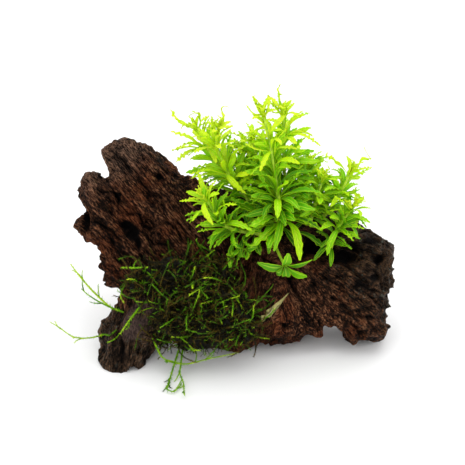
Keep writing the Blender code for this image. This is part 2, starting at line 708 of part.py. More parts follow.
class Whorl:
    """A collar round the stem with one or two rows of leaves on it, or the bud at its tip, with one row."""

    def __init__(self, name, plan, axis, last):
        self.name = name
        self.centre = Vector(plan.centre) * MM
        self.axis = axis
        self.last = last
        self.rows = plan.rows
        self.count = plan.leaves
        self.length = plan.length * MM
        self.pitch = math.radians(plan.rise)
        self.aims = [Vector(tip) * MM for tip in plan.tips]
        self.inner = 0 if last else STEM_RADIUS + GAP
        self.outer = BUD_RADIUS if last else STEM_RADIUS + GAP + COLLAR_THICKNESS
        self.slots = [(level, sector) for level in range(self.rows) for sector in range(self.count)]
        self.leaves = {}
        self.trees = []
        first = self.aims[0] - self.centre
        spoke = (first - axis * first.dot(axis)).normalized()
        self.frame = Matrix((spoke, axis.cross(spoke), axis)).transposed()

    def outwards(self, angle):
        return self.frame @ Vector((math.cos(angle), math.sin(angle), 0))

    def facing(self, slot):
        """The way the side of the collar faces that this leaf grows from."""
        return self.outwards(2 * math.pi * slot[1] / self.count)

    def spoke(self, slot, turn=0):
        """The way the leaf spreads: the second row's leaves lie between the first row's."""
        return self.outwards(2 * math.pi * (slot[1] + ROW_STAGGER * slot[0]) / self.count + turn)

    def base(self, slot):
        level = slot[0] - (self.rows - 1) / 2
        apothem = self.outer * math.cos(math.pi / self.count)
        return self.centre + self.facing(slot) * apothem + self.axis * (level * ROW_HEIGHT)

    def rise(self, slot):
        return self.pitch + slot[0] * ROW_RISE

    def hub(self):
        """The collar or the bud, as a bmesh, and its outer faces by slot."""
        body = bmesh.new()
        low, high = -self.rows * ROW_HEIGHT / 2, self.rows * ROW_HEIGHT / 2
        levels = [low + ROW_HEIGHT * step for step in range(self.rows + 1)]
        if self.last:
            corners = [(0, low)] + [(self.outer, level) for level in levels] + [(0, high)]
        else:
            corners = [(self.inner, low)] + [(self.outer, level) for level in levels] + [(self.inner, high)]
        section = [body.verts.new((x, 0, z)) for x, z in corners]
        edges = [body.edges.new(ends) for ends in zip(section, section[1:])]
        if not self.last:
            edges.append(body.edges.new((section[-1], section[0])))
        bmesh.ops.spin(
            body,
            geom=[*section, *edges],
            axis=(0, 0, 1),
            angle=2 * math.pi,
            steps=self.count,
            use_merge=True,
        )
        bmesh.ops.remove_doubles(body, verts=body.verts, dist=WELD)
        bmesh.ops.recalc_face_normals(body, faces=body.faces)
        half_turn = Matrix.Rotation(-math.pi / self.count, 4, "Z")
        place_at = Matrix.Translation(self.centre) @ self.frame.to_4x4() @ half_turn
        bmesh.ops.transform(body, matrix=place_at, verts=body.verts)
        outer = {}
        for slot in self.slots:
            base = self.base(slot)
            outer[slot] = min(body.faces, key=lambda face: (face.calc_center_median() - base).length)
        return body, outer

    def stations(self, slot, tip, lift, twist, profile, margin=0):
        """Centre, across, up, half width and half thickness at each station of a leaf to this tip."""
        base = self.base(slot)
        spoke = self.spoke(slot)
        facing = self.facing(slot)
        reach = (tip - base).length
        bend = base + (spoke * math.cos(lift) + self.axis * math.sin(lift)) * reach * LEAF_BEND
        broad = (self.axis.cross(spoke) + self.axis.cross(tip - base).normalized()).normalized()
        half_width = (LEAF_WIDTH + LEAF_WIDTH_SHARE * reach) / 2
        foot = (base, self.axis.cross(facing), self.axis, LEAF_FOOT / 2 + margin, ROW_HEIGHT / 2 + margin)
        found = [foot]
        for along, share in profile:
            inner, outer = base.lerp(bend, along), bend.lerp(tip, along)
            heading = (outer - inner).normalized()
            across = (broad - heading * broad.dot(heading)).normalized()
            across = Matrix.Rotation(twist * along, 3, heading) @ across
            up = heading.cross(across)
            centre = inner.lerp(outer, along)
            found.append((centre, across, up, half_width * share + margin, LEAF_THICKNESS / 2 + margin))
        return found


def leaf_on(body, face, stations):
    """Draws a face of the body out through the stations of a leaf, from the first one, where the face is."""
    previous = stations[0]
    for station in stations[1:]:
        face = bmesh.ops.extrude_discrete_faces(body, faces=[face])["faces"][0]
        for vertex in face.verts:
            offset = vertex.co - previous[0]
            side = math.copysign(station[3], offset.dot(previous[1]))
            level = math.copysign(station[4], offset.dot(previous[2]))
            vertex.co = station[0] + station[1] * side + station[2] * level
        previous = station


def leaf_tree(stations):
    """The surface of a leaf through these stations, open at its foot."""
    centre, across, up, half_width, half_thickness = stations[0]
    side, rise = across * half_width, up * half_thickness
    body = bmesh.new()
    foot = [body.verts.new(centre + side * x + rise * y) for x, y in ((-1, -1), (1, -1), (1, 1), (-1, 1))]
    leaf_on(body, body.faces.new(foot), stations)
    tree = BVHTree.FromBMesh(body)
    body.free()
    return tree


def try_leaf(whorl, slot, tip, lift, profile, obstacles):
    """Grows this leaf if it clears everything."""
    twist = CHANCE.uniform(-LEAF_TWIST, LEAF_TWIST)
    wide = whorl.stations(slot, tip, lift, twist, profile, LEAF_MARGIN)
    if touches(leaf_tree(wide), obstacles) or touches(leaf_tree(wide[1:]), whorl.trees):
        return False
    whorl.leaves[slot] = whorl.stations(slot, tip, lift, twist, profile)
    whorl.trees.append(leaf_tree(whorl.leaves[slot]))
    return True


def others(whorls, this, obstacles):
    return obstacles + [tree for whorl in whorls if whorl is not this for tree in whorl.trees]


def misfit(whorl, slot, outwards):
    """How badly a slot suits a leaf that goes this way."""
    rise = whorl.rise(slot)
    return -(whorl.spoke(slot) * math.cos(rise) + whorl.axis * math.sin(rise)).dot(outwards)


def aimed_leaves(whorls, obstacles):
    """The leaves whose tips are known, each from the free slot that suits it best."""
    for whorl in whorls:
        around = others(whorls, whorl, obstacles)
        for tip in whorl.aims:
            outwards = tip - whorl.centre
            free = [slot for slot in whorl.slots if slot not in whorl.leaves]
            free.sort(key=lambda slot: misfit(whorl, slot, outwards))
            for attempt in range(LEAF_TRIES):
                slot = free[attempt % min(2, len(free))]
                shorter = 1 - TRY_SHORTER * (attempt // 2)
                stray = Vector([CHANCE.gauss(0, TRY_STRAY) * attempt for axis in range(3)])
                lift = CHANCE.uniform(*AIMED_LIFT)
                end = whorl.centre + outwards * shorter + stray
                if try_leaf(whorl, slot, end, lift, LEAF_STATIONS, around):
                    break


def filling_leaves(whorls, obstacles):
    """Leaves on the sides that are still bare, spread round the stem."""
    for whorl in whorls:
        around = others(whorls, whorl, obstacles)
        for slot in whorl.slots:
            for attempt in range(LEAF_TRIES):
                if slot in whorl.leaves:
                    break
                spoke = whorl.spoke(slot, CHANCE.gauss(0, FILLING_TURN))
                pitch = whorl.rise(slot) + CHANCE.gauss(0, FILLING_RISE + TRY_RISE * attempt)
                length = whorl.length * CHANCE.uniform(*FILLING_LENGTH) * (1 - TRY_SHORTER * attempt)
                end = whorl.base(slot) + (spoke * math.cos(pitch) + whorl.axis * math.sin(pitch)) * length
                lift = pitch + CHANCE.uniform(*FILLING_LIFT)
                try_leaf(whorl, slot, end, lift, PLAIN_STATIONS, around)


def grow_stem(name, root, whorls, wood_tree, obstacles):
    """A stem from the wood to just under its bud, straight where it passes through each collar."""
    bud = whorls[-1]
    line = []
    for whorl in whorls[:-1]:
        line += [whorl.centre - whorl.axis * COLLAR_PASSAGE, whorl.centre + whorl.axis * COLLAR_PASSAGE]
    line.append(bud.centre - bud.axis * (ROW_HEIGHT * bud.rows / 2 + GAP))
    heading = (root - line[0]).normalized()
    start = (wood_tree.ray_cast(line[0], heading)[0] or root) - heading * GAP
    mesh = tube(name, [(point, STEM_RADIUS) for point in (start, *line)])
    while not clears(mesh, obstacles):
        start -= heading * LIFT_STEP
        mesh = tube(name, [(point, STEM_RADIUS) for point in (start, *line)])
    piece(name, mesh, STEM)


def shoot_axes(root, centres):
    """The way the stem runs at each whorl."""
    line = [root, *centres, centres[-1]]
    return [(after - before).normalized() for before, after in zip(line, line[2:])]


def grow_plant(wood_tree, obstacles):
    plant = []
    for number, (root, plans) in enumerate(SHOOTS, start=1):
        root = Vector(root) * MM
        axes = shoot_axes(root, [Vector(plan.centre) * MM for plan in plans])
        whorls = []
        for level, (plan, axis) in enumerate(zip(plans, axes), start=1):
            whorls.append(Whorl(f"shoot_{number}_leaves_{level}", plan, axis, level == len(plans)))
        grow_stem(f"shoot_{number}_stem", root, whorls, wood_tree, obstacles)
        plant += whorls
    for whorl in plant:
        body, outer = whorl.hub()
        whorl.trees.append(BVHTree.FromBMesh(body))
        body.free()
    aimed_leaves(plant, obstacles)
    filling_leaves(plant, obstacles)
    for whorl in plant:
        body, outer = whorl.hub()
        for slot, stations in whorl.leaves.items():
            leaf_on(body, outer[slot], stations)
        piece(whorl.name, mesh_of(whorl.name, body), LEAF)


def bounds_of(objects):
    """The low and high corners of these objects as they stand."""
    graph = bpy.context.evaluated_depsgraph_get()
    low, high = np.full(3, np.inf), np.full(3, -np.inf)
    for obj in objects:
        mesh = obj.evaluated_get(graph).to_mesh()
        mesh.transform(obj.matrix_world)
        points = points_of(mesh)
        low, high = np.minimum(low, points.min(axis=0)), np.maximum(high, points.max(axis=0))
        obj.evaluated_get(graph).to_mesh_clear()
    return low, high


def stand_up():
    """Hangs everything from an empty that leans the face back, and centres it over the origin."""
    parts = list(PARTS.objects)
    stand = place("stand", None)
    for obj in [*parts, *CUTTERS.objects]:
        obj.parent = stand
    stand.matrix_world = FACE
    bpy.context.view_layer.update()
    low, high = bounds_of(parts)
    stand.location.x -= (low[0] + high[0]) / 2
    stand.location.y -= (low[1] + high[1]) / 2


def build():
    wood = carve_wood()
    split_wood(wood)
    wood_tree = tree_of(wood)
    moss = grow_moss(wood, wood_tree)
    ground = tree_of(wood, moss)
    obstacles = [wood_tree, tree_of(moss)]
    for number, (radius, route) in enumerate(MOSS_STRANDS, start=1):
        lay(f"moss_strand_{number}", route, radius * MM, ground, obstacles)
    drop_leaf(ground, obstacles)
    grow_plant(wood_tree, obstacles)
    stand_up()


build()
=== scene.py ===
import math
import random

import bmesh
import bpy
import numpy as np
from mathutils import Matrix, Vector, noise
from mathutils.bvhtree import BVHTree


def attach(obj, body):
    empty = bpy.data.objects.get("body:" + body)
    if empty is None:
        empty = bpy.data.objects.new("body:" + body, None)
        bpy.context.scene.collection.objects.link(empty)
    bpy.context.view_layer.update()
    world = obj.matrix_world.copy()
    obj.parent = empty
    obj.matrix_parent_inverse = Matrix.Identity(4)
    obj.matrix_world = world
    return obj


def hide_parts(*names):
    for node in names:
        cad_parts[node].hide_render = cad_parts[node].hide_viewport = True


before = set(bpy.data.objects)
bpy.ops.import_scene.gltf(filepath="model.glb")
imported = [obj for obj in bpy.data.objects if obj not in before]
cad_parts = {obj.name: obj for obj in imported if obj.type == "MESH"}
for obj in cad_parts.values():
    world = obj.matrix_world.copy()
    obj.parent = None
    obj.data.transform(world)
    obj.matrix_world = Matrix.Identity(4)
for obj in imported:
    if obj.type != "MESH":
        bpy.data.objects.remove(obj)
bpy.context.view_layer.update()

MM = 0.001


# Driftwood
# A weathered slab of bogwood that leans back on its foot and a root behind it. Soft wood has rotted out
# between the fibres, which leaves ropes of grain, long open cracks and hollows, and it is dark and wet.

WOOD_NODES = ["driftwood_left_limb", "driftwood_right_limb", "driftwood_foot", "driftwood_back_root"]
WOOD_VOXEL = 0.83 * MM
WOOD_OVERLAP = 0.25 * MM
WOOD_SOFTENING = 10

# The face of the slab: x runs across it, y up it and z proud of it.
FACE_LEAN = math.radians(30)
FACE_PLACE = Vector((0.0042, 0.0130, 0.0580))
FACE = Matrix.Translation(FACE_PLACE) @ Matrix.Rotation(math.pi / 2 - FACE_LEAN, 4, "X")
FACE_TURN = np.array(FACE.to_3x3())

# The grain of the face, in millimetres. It runs down the left limb, bends into the foot and fans out right.
GRAIN_LEFT = (0.66, -0.75)
GRAIN_FOOT = (-0.15, -0.99)
FOOT_MEETS = (-45, -35)
FOOT_BEND = 14
GRAIN_TURNS = (2, 26)
GRAIN_FAN = (10, 8)
FAN_RADIUS = 45

# Each layer of relief: size along and across the grain and in depth, and height, in millimetres, and seed.
# Where the height is 1, the line below it gives what the noise is worth.
SEED_STEP = 17.3
NOISE_TOP = 0.7
LUMPS = ((22, 9, 9), 2.4, 16)
ROPES = ((34, 4, 7), 1.2, 1)
FIBRES = ((14, 1.7, 2.4), 1.2, 2)
KNOBBLES = ((5, 3.4, 3.4), 1.2, 3)
GRIT = ((2.2, 1.7, 1.7), 0.7, 10)
RAGGED = ((4.4, 3.2, 2.6), 1.8, 9)
SWELLS = ((13, 9, 9), 1.8, 12)
PITS = ((6, 2, 4), 1, 4)
PIT_LEVEL, PIT_DEPTH = 0.36, 2.4
SPLITS = ((60, 5, 16), 1, 5)
SPLIT_WIDTH, SPLIT_DEPTH = 0.05, 2.0
SPLIT_BREAKS = ((16, 8, 8), 1, 11)
SPLIT_OPENS = (0.05, 0.3)

# To the right the wood is crumbly. It has lost half of its grain there, and is knobbly instead.
CRUMBLES = (-8, 22)
GRAIN_LOST, KNOBBLES_LEFT = 0.5, 0.25

# The ragged edge, where the knobbles are weaker, and how high over the ground the relief is full.
EDGE_WIDTH, EDGE_KNOBBLES = 1.3, 0.4
FULL_RELIEF = 3 * MM

# The two tips of the left limb are smoother and bleached, and so is the end of the foot. The right end and
# the foot are drenched. Each is given by where it starts and is full, and for the foot by how strong it is.
TIPS_SLOPE, TIPS, TIPS_SMOOTH = 0.55, (52, 76), 0.8
DRENCHED_SLOPE, DRENCHED = 0.7, (18, 66)
FOOT_IS_LEFT_OF = -25
FOOT_BLEACHED = (40, 58, 0.7)
FOOT_DRENCHED = (34, 50, 0.8)

# How much the layers lift a place to a crest, and how much relief makes a hollow. The wood's colour is
# painted lighter on the crests and darker between them, and darkest in the hollows: painted light and
# painted shade.
CREST_SHARES = (0.18, 0.5, 0.9, 0.6)
CRACK_SHARE, FULL_HOLLOW = 0.7, 2.5

# Long cracks of the face: both ends, half width and depth in millimetres.
CRACK_WANDER, CRACK_WAVES = 1.4, 9
CRACK_START, CRACK_SPAN = 0.1, 0.85
CRACKS = [
    ((-72, 26.5), (-57, 11), 1.5, 4.6), ((-59, 13), (-43, 2), 1.2, 4.0),
    ((-77, 31), (-60, 13), 0.9, 3.0), ((-66, 44), (-54, 33), 1.0, 2.6),
    ((-56, 35), (-36, 14), 1.0, 2.8), ((-49, 45), (-22, 23), 0.9, 2.2),
    ((-49, 26), (-37, 15), 1.2, 3.4), ((-80, 14), (-58, -8), 1.2, 4.2),
    ((-48, 0), (-30, -14), 1.3, 3.4), ((-40, 8), (-22, -6), 1.1, 3.0),
    ((-45, 16), (-36, 15), 0.8, 2.2), ((-66, -2), (-50, -26), 1.2, 3.2),
    ((-62, 24), (-50, 16), 0.8, 2.0), ((10, -6), (44, -40), 1.2, 2.4),
    ((34, -4), (78, -30), 1.6, 3.2), ((52, -2), (83, -16), 1.4, 3.0),
    ((62, 6), (84, -4), 1.3, 3.4), ((66, -16), (86, -30), 1.2, 3.0),
    ((50, -34), (78, -50), 1.2, 2.2),
]
# Rotted hollows: centre, radii and depth.
HOLLOW_WANDER = (5, 0.55, 13)
HOLLOWS = [
    ((-57.5, 3.5), (4.4, 2.6), 6), ((-54, 0), (3.4, 4.2), 6),
    ((-51, -6), (1.8, 4), 4), ((-39.5, 30), (1.7, 2.3), 4),
    ((-79, 6), (2.4, 6), 5), ((45, -8), (10, 5.5), 8),
    ((60, -14), (6, 4.5), 5), ((68, -27), (5, 2.5), 3),
    ((75, -5), (5, 2.2), 4), ((80, -14), (3, 2.4), 4),
    ((73, 1), (3, 1.4), 3), ((66, -8), (3.2, 3), 5),
    ((77, -24), (4, 2.2), 4), ((-60, -66), (4, 5), 2.5),
]
# Bites out of its edge: centre and radius.
BITE_WANDER = (4, 0.7, 15)
BITES = [
    ((55.5, -59.5), 7.4), ((62.5, -62), 3.5), ((88, -17), 3.4), ((90, -34.5), 4.5),
    ((90.5, -45), 6), ((-54, -77), 4.5), ((-40, -72), 5.5), ((-73.5, 36.5), 4),
    ((-70.6, 32), 2.6), ((-84, 14), 3), ((-66, -34), 4),
]
# The worn flat on top of the foot: centre, reach along and across its slope, and the slope. Then where it
# fades out, how squarely it faces out, and how much of the relief it has lost.
WORN_FLAT = ((-50, -46), (15, 8), (0.57, 0.82))
WORN_EDGE = (0.75, 1.1)
WORN_FACING = (0.2, 0.7)
WORN_SMOOTH = 0.92


def merged_solid(*nodes):
    """The solids of these nodes as one bmesh, with the corners that their triangles share merged."""
    body = bmesh.new()
    for node in nodes:
        body.from_mesh(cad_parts[node].data)
    bmesh.ops.remove_doubles(body, verts=body.verts, dist=0.005 * MM)
    body.normal_update()
    return body


def in_scene(name, data):
    """A new object at the origin."""
    obj = bpy.data.objects.new(name, data)
    bpy.context.scene.collection.objects.link(obj)
    return obj


def new_piece(name, mesh, material, slot, *replaced):
    """A finished piece that rides on the one body and stands for these nodes."""
    obj = in_scene(name, mesh)
    mesh.materials.append(material)
    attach(obj, "root")
    if replaced:
        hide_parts(*replaced)
    return obj


def made_mesh(obj):
    """What an object's curve or modifiers make, as a mesh. The object goes."""
    mesh = bpy.data.meshes.new_from_object(obj.evaluated_get(bpy.context.evaluated_depsgraph_get()))
    bpy.data.objects.remove(obj)
    return mesh


def voxel_skin(name, body, voxel, softening):
    """Closed shapes that overlap as one even skin."""
    mesh = bpy.data.meshes.new(name)
    body.to_mesh(mesh)
    body.free()
    obj = in_scene(name, mesh)
    remesh = obj.modifiers.new("skin", "REMESH")
    remesh.mode = "VOXEL"
    remesh.voxel_size = voxel
    smooth = obj.modifiers.new("soften", "SMOOTH")
    smooth.iterations = softening
    return made_mesh(obj)


def corners_of(mesh, field="co"):
    """Where the corners of a mesh are, or their normals."""
    values = np.empty(len(mesh.vertices) * 3)
    mesh.vertices.foreach_get(field, values)
    return values.reshape(-1, 3)


def on_face(points):
    """Places in the frame as millimetres across, up and proud of the face."""
    back = np.array(FACE.inverted())
    return (points @ back[:3, :3].T + back[:3, 3]) / MM


def smooth_step(value, start, end):
    share = np.clip((value - start) / (end - start), 0, 1)
    return share * share * (3 - 2 * share)


def along_and_across(x, y, way):
    return np.array([x * way[0] + y * way[1], x * way[1] - y * way[0]])


def grain_at(x, y, z):
    """(along, across, depth) in the grain for places on the face, in millimetres."""
    grain = along_and_across(x, y, GRAIN_LEFT)
    foot_x, foot_y = x - FOOT_MEETS[0], y - FOOT_MEETS[1]
    foot = along_and_across(foot_x, foot_y, GRAIN_FOOT) + along_and_across(*FOOT_MEETS, GRAIN_LEFT)[:, None]
    share = smooth_step(-foot_y, -FOOT_BEND, FOOT_BEND) * smooth_step(-foot_x, -FOOT_BEND, FOOT_BEND / 2)
    grain += (foot - grain) * share
    fan_x, fan_y = x - GRAIN_FAN[0], y - GRAIN_FAN[1]
    fan = np.array([np.hypot(fan_x, fan_y), -np.arctan2(fan_y, fan_x) * FAN_RADIUS])
    grain += (fan - grain) * smooth_step(x, *GRAIN_TURNS)
    return np.stack([*grain, z], axis=1)


def layer_at(places, layer):
    """Smooth noise at each place. It goes from about -0.7 to 0.7 times the layer's height."""
    size, height, seed = layer
    scaled = places / np.array(size) + seed * SEED_STEP
    return np.array([noise.noise(place) for place in scaled.tolist()]) * height


def flat_places(x, y):
    return np.stack([x, y, np.zeros(len(x))], axis=1)


def crack_depths(x, y):
    """How deep the long cracks and the hollows are at places on the face."""
    here = np.stack([x, y], axis=1)
    deepest = np.zeros(len(x))
    for start, end, half_width, depth in CRACKS:
        start, run = np.array(start), np.array(end) - np.array(start)
        along = np.clip((here - start) @ run / (run @ run), 0, 1)
        wander = CRACK_WANDER * np.sin(along * CRACK_WAVES + start[0]) * half_width
        side = np.array([-run[1], run[0]]) / np.linalg.norm(run)
        off = here - start - along[:, None] * run - wander[:, None] * side
        away = np.hypot(off[:, 0], off[:, 1]) / half_width
        fading = np.sin(math.pi * (CRACK_START + CRACK_SPAN * along)) * np.exp(-away * away)
        deepest = np.maximum(deepest, depth * fading)
    wander = layer_at(flat_places(x, y), HOLLOW_WANDER)
    for centre, radii, depth in HOLLOWS:
        away = np.hypot((x - centre[0]) / radii[0], (y - centre[1]) / radii[1]) + wander
        deepest = np.maximum(deepest, depth * np.exp(-(np.abs(away) ** 4)))
    return deepest


def bitten(x, y):
    """Places on the face, moved clear of the bites."""
    wander = layer_at(flat_places(x, y), BITE_WANDER)
    for (centre_x, centre_y), radius in BITES:
        away = np.maximum(np.hypot(x - centre_x, y - centre_y), 0.1)
        push = np.maximum(radius * (1 + wander) / away, 1)
        x, y = centre_x + (x - centre_x) * push, centre_y + (y - centre_y) * push
    return x, y


def worn_at(x, y):
    (centre_x, centre_y), (reach_along, reach_across), slope = WORN_FLAT
    along, across = along_and_across(x - centre_x, y - centre_y, slope)
    return 1 - smooth_step(np.hypot(along / reach_along, across / reach_across), *WORN_EDGE)


def low_on_foot(x, y, start, end, strength):
    return strength * smooth_step(-y, start, end) * (x < FOOT_IS_LEFT_OF)


def set_values(mesh, **values):
    """Gives each corner of a mesh a value, or a vector, for each of these names."""
    for name, value in values.items():
        kind, field = ("FLOAT_VECTOR", "vector") if value.ndim == 2 else ("FLOAT", "value")
        attribute = mesh.attributes.new(name, kind, "POINT")
        attribute.data.foreach_set(field, value.astype(np.float32).ravel())


def weathered_skin():
    """The wood's skin with its relief, and what its material needs to follow the grain."""
    body = merged_solid(*WOOD_NODES)
    for vertex in body.verts:
        vertex.co += vertex.normal * WOOD_OVERLAP
    mesh = voxel_skin("driftwood", body, WOOD_VOXEL, WOOD_SOFTENING)
    points, normals = corners_of(mesh), corners_of(mesh, "normal")
    face = on_face(points)
    # These are views, so they follow the face when it moves.
    x, y = face[:, 0], face[:, 1]
    grain = grain_at(*face.T)
    proud = normals @ FACE_TURN[:, 2]
    edge = 1 - np.clip(np.abs(proud) * EDGE_WIDTH, 0, 1)
    worn = worn_at(x, y) * smooth_step(proud, *WORN_FACING)
    crumbly = smooth_step(x, *CRUMBLES)
    tips = smooth_step(y - TIPS_SLOPE * x, *TIPS)
    lumps = layer_at(grain, LUMPS)
    ropes = layer_at(grain, ROPES) * (1 - GRAIN_LOST * crumbly)
    fibres = layer_at(grain, FIBRES) * (1 - GRAIN_LOST * crumbly)
    knobbles = layer_at(face, KNOBBLES) * (KNOBBLES_LEFT + (1 - KNOBBLES_LEFT) * crumbly)
    knobbles *= 1 - (1 - EDGE_KNOBBLES) * edge
    pits = np.maximum(layer_at(grain, PITS) - PIT_LEVEL, 0) * PIT_DEPTH / (NOISE_TOP - PIT_LEVEL)
    grit = layer_at(face, GRIT)
    splits = np.maximum(1 - np.abs(layer_at(grain, SPLITS)) / SPLIT_WIDTH, 0) * SPLIT_DEPTH
    splits *= smooth_step(layer_at(grain, SPLIT_BREAKS), *SPLIT_OPENS)
    cracks = crack_depths(x, y) * np.clip(proud, 0, 1)
    ragged = (layer_at(face, RAGGED) + layer_at(face, SWELLS)) * edge * (1 - TIPS_SMOOTH * tips)
    relief = lumps + ropes + fibres + knobbles + grit - pits - splits
    rise = relief * (1 - WORN_SMOOTH * worn) + ragged
    face += (normals * (rise * smooth_step(points[:, 2], 0, FULL_RELIEF))[:, None]) @ FACE_TURN
    face[:, 2] -= cracks
    face[:, 0], face[:, 1] = bitten(x, y)
    points = face * MM @ FACE_TURN.T + np.array(FACE_PLACE)
    points[:, 2] = np.maximum(points[:, 2], 0)
    mesh.vertices.foreach_set("co", points.ravel())
    # Painted shade: how much the colour darkens where the relief is deep, in the pits, splits, cracks and
    # hollows.
    hollow = np.clip((pits + splits + cracks * CRACK_SHARE) / FULL_HOLLOW, 0, 1)
    # Painted light and shade: the colour is lighter on the crests of the relief and darker in the grooves
    # between them.
    crest = np.clip(0.5 + np.dot(CREST_SHARES, [lumps, ropes, fibres, knobbles + grit]), 0, 1)
    bleached = np.clip(tips + low_on_foot(x, y, *FOOT_BLEACHED), 0, 1)
    drenched = smooth_step(x + DRENCHED_SLOPE * y, *DRENCHED) + low_on_foot(x, y, *FOOT_DRENCHED)
    set_values(mesh, grain=grain, worn=worn, hollow=hollow, crest=crest, bleached=bleached)
    set_values(mesh, crumbly=crumbly, drenched=drenched)
    mesh.shade_smooth()
    return mesh


class Wire:
    """A value in a material's node tree. Arithmetic on it adds Math nodes, and node() adds any other."""

    def __init__(self, tree, socket=None):
        self.tree = tree
        self.socket = socket

    def node(self, kind, settings, inputs, output=0):
        """A new node, with its settings set first and then its sockets, to values or to other wires."""
        made = self.tree.nodes.new(f"ShaderNode{kind}")
        for name, value in settings.items():
            setattr(made, name, value)
        for name, value in inputs.items():
            if isinstance(value, Wire):
                self.tree.links.new(value.socket, made.inputs[name])
            else:
                made.inputs[name].default_value = value
        return Wire(self.tree, made.outputs[output])

    def maths(self, operation, first, second=0):
        return self.node("Math", {"operation": operation}, {0: first, 1: second})

    def __add__(self, other):
        return self.maths("ADD", self, other)

    __radd__ = __add__

    def __sub__(self, other):
        return self.maths("SUBTRACT", self, other)

    def __rsub__(self, other):
        return self.maths("SUBTRACT", other, self)

    def __mul__(self, other):
        return self.maths("MULTIPLY", self, other)

    __rmul__ = __mul__

    def __abs__(self):
        return self.maths("ABSOLUTE", self)

    def clamped(self):
        return self.node("Clamp", {}, {0: self})

    def attribute(self, name, output="Fac"):
        return self.node("Attribute", {"attribute_name": name}, {}, output)

    def place(self):
        return self.node("TexCoord", {}, {}, "Object")

    def stretched(self, scale):
        return self.node("Mapping", {}, {"Vector": self, "Scale": scale})

    def noise(self, scale, detail, roughness):
        values = {"Vector": self, "Scale": scale, "Detail": detail, "Roughness": roughness}
        return self.node("TexNoise", {}, values)

    def between(self, low, high):
        """This value drawn out so that low becomes 0 and high 1."""
        values = {"Value": self, "From Min": low, "From Max": high}
        return self.node("MapRange", {"interpolation_type": "SMOOTHSTEP"}, values)

    def colours(self, first, second):
        """The first colour, with this share of the second over it."""
        return self.node("Mix", {"data_type": "RGBA"}, {0: self, 6: first, 7: second}, 2)

    def ramp(self, stops):
        """The colour for this value on a ramp, which has a colour at each of these stops."""
        made = self.node("ValToRGB", {}, {0: self})
        marks = made.socket.node.color_ramp.elements
        marks[0].position, marks[1].position = min(stops), max(stops)
        for position in sorted(stops)[1:-1]:
            marks.new(position)
        for mark, shade in zip(marks, stops.values()):
            mark.color = colour(*shade)
        return made

    def bump(self, strength, distance):
        values = {"Height": self, "Strength": strength, "Distance": distance}
        return self.node("Bump", {}, values, "Normal")

    def into(self, name):
        self.tree.links.new(self.socket, self.tree.nodes["Principled BSDF"].inputs[name])


def new_material(name, **constants):
    """A Principled material with these constants, and a loose wire to add nodes from."""
    made = bpy.data.materials.new(name)
    made.use_nodes = True
    shader = made.node_tree.nodes["Principled BSDF"]
    for socket, value in {"subsurface_scale": 1, **constants}.items():
        shader.inputs[socket.replace("_", " ").title().replace("Ior", "IOR")].default_value = value
    return made, Wire(made.node_tree)


def colour(*values):
    """A colour as a screen shows it, from 0 to 255, as the light that the shader works in."""
    light = [((value / 255 + 0.055) / 1.055) ** 2.4 if value > 10 else value / 3295 for value in values]
    return (*light, 1)


def wood_material():
    made, start = new_material("wet_bogwood", specular_ior_level=0.08)
    grain = start.attribute("grain", "Vector")
    place = start.place()
    fine = grain.stretched((0.2, 1.9, 1.2)).noise(1, 3, 0.75).between(0.4, 0.59)
    fibres = grain.stretched((0.05, 0.7, 0.4)).noise(1, 3, 0.7).between(0.38, 0.62)
    bands = grain.stretched((0.02, 0.22, 0.12)).noise(1, 3, 0.6).between(0.38, 0.62)
    grit = grain.stretched((0.6, 1.5, 1.4)).noise(1, 2, 0.8).between(0.4, 0.61)
    patches = place.noise(55, 4, 0.65).between(0.46, 0.64)
    flecks = place.noise(620, 2, 0.6).between(0.57, 0.66)
    blotches = place.noise(130, 3, 0.6).between(0.34, 0.62)
    loose = place.noise(420, 3, 0.75).between(0.4, 0.6)
    crest = start.attribute("crest")
    crumbly = start.attribute("crumbly") * 0.3
    fine = fine * (1 - crumbly) + loose * crumbly
    fibres = fibres * (1 - crumbly) + grit * crumbly
    # The crest share paints light on the raised relief and shade in its grooves.
    tone = fine * 0.66 + fibres * 0.24 + grit * 0.42 + bands * 0.14 + blotches * 0.24 + crest * 0.34
    tone = (tone - 0.68).clamped()
    body = tone.ramp({0: (12, 5, 2), 0.3: (36, 20, 11), 0.6: (78, 47, 30), 1: (152, 104, 74)})
    body = (patches * tone * 0.6).clamped().colours(body, colour(126, 60, 28))
    body = (flecks * tone * 0.3).clamped().colours(body, colour(184, 104, 56))
    bleached = start.attribute("bleached") * 0.5
    body = bleached.colours(body, tone.ramp({0: (14, 10, 8), 1: (158, 128, 108)}))
    drenched = start.attribute("drenched") * 0.9
    body = drenched.colours(body, tone.ramp({0: (4, 2, 1), 1: (90, 70, 50)}))
    glints = place.noise(380, 3, 0.7).between(0.56, 0.68) * drenched
    body = (glints * crest * 1.3).clamped().colours(body, colour(98, 102, 92))
    worn = start.attribute("worn") * 0.8
    polish = (grit * 0.6 + tone * 0.3).clamped().colours(colour(44, 33, 31), colour(88, 70, 65))
    body = worn.colours(body, polish)
    # Painted shade: the pits, splits, cracks and hollows are darkened towards near black.
    hollow = (start.attribute("hollow") * 1.1).clamped()
    hollow.colours(body, colour(6, 3, 2)).into("Base Color")
    (0.8 - fibres * 0.15 - drenched * 0.4 + hollow * 0.2).into("Roughness")
    relief = (fine * 0.6 + fibres * 0.5 + grit * 0.4) * (1 - worn * 1.1)
    relief.bump(1.0, 0.0013).into("Normal")
    return made


driftwood = new_piece("driftwood", weathered_skin(), wood_material(), "bogwood", *WOOD_NODES)


# Stems
# Each shoot has a juicy pale green stem that is rooted on the wood. It is a little thicker at every ring of
# leaves and thins out to the tip.

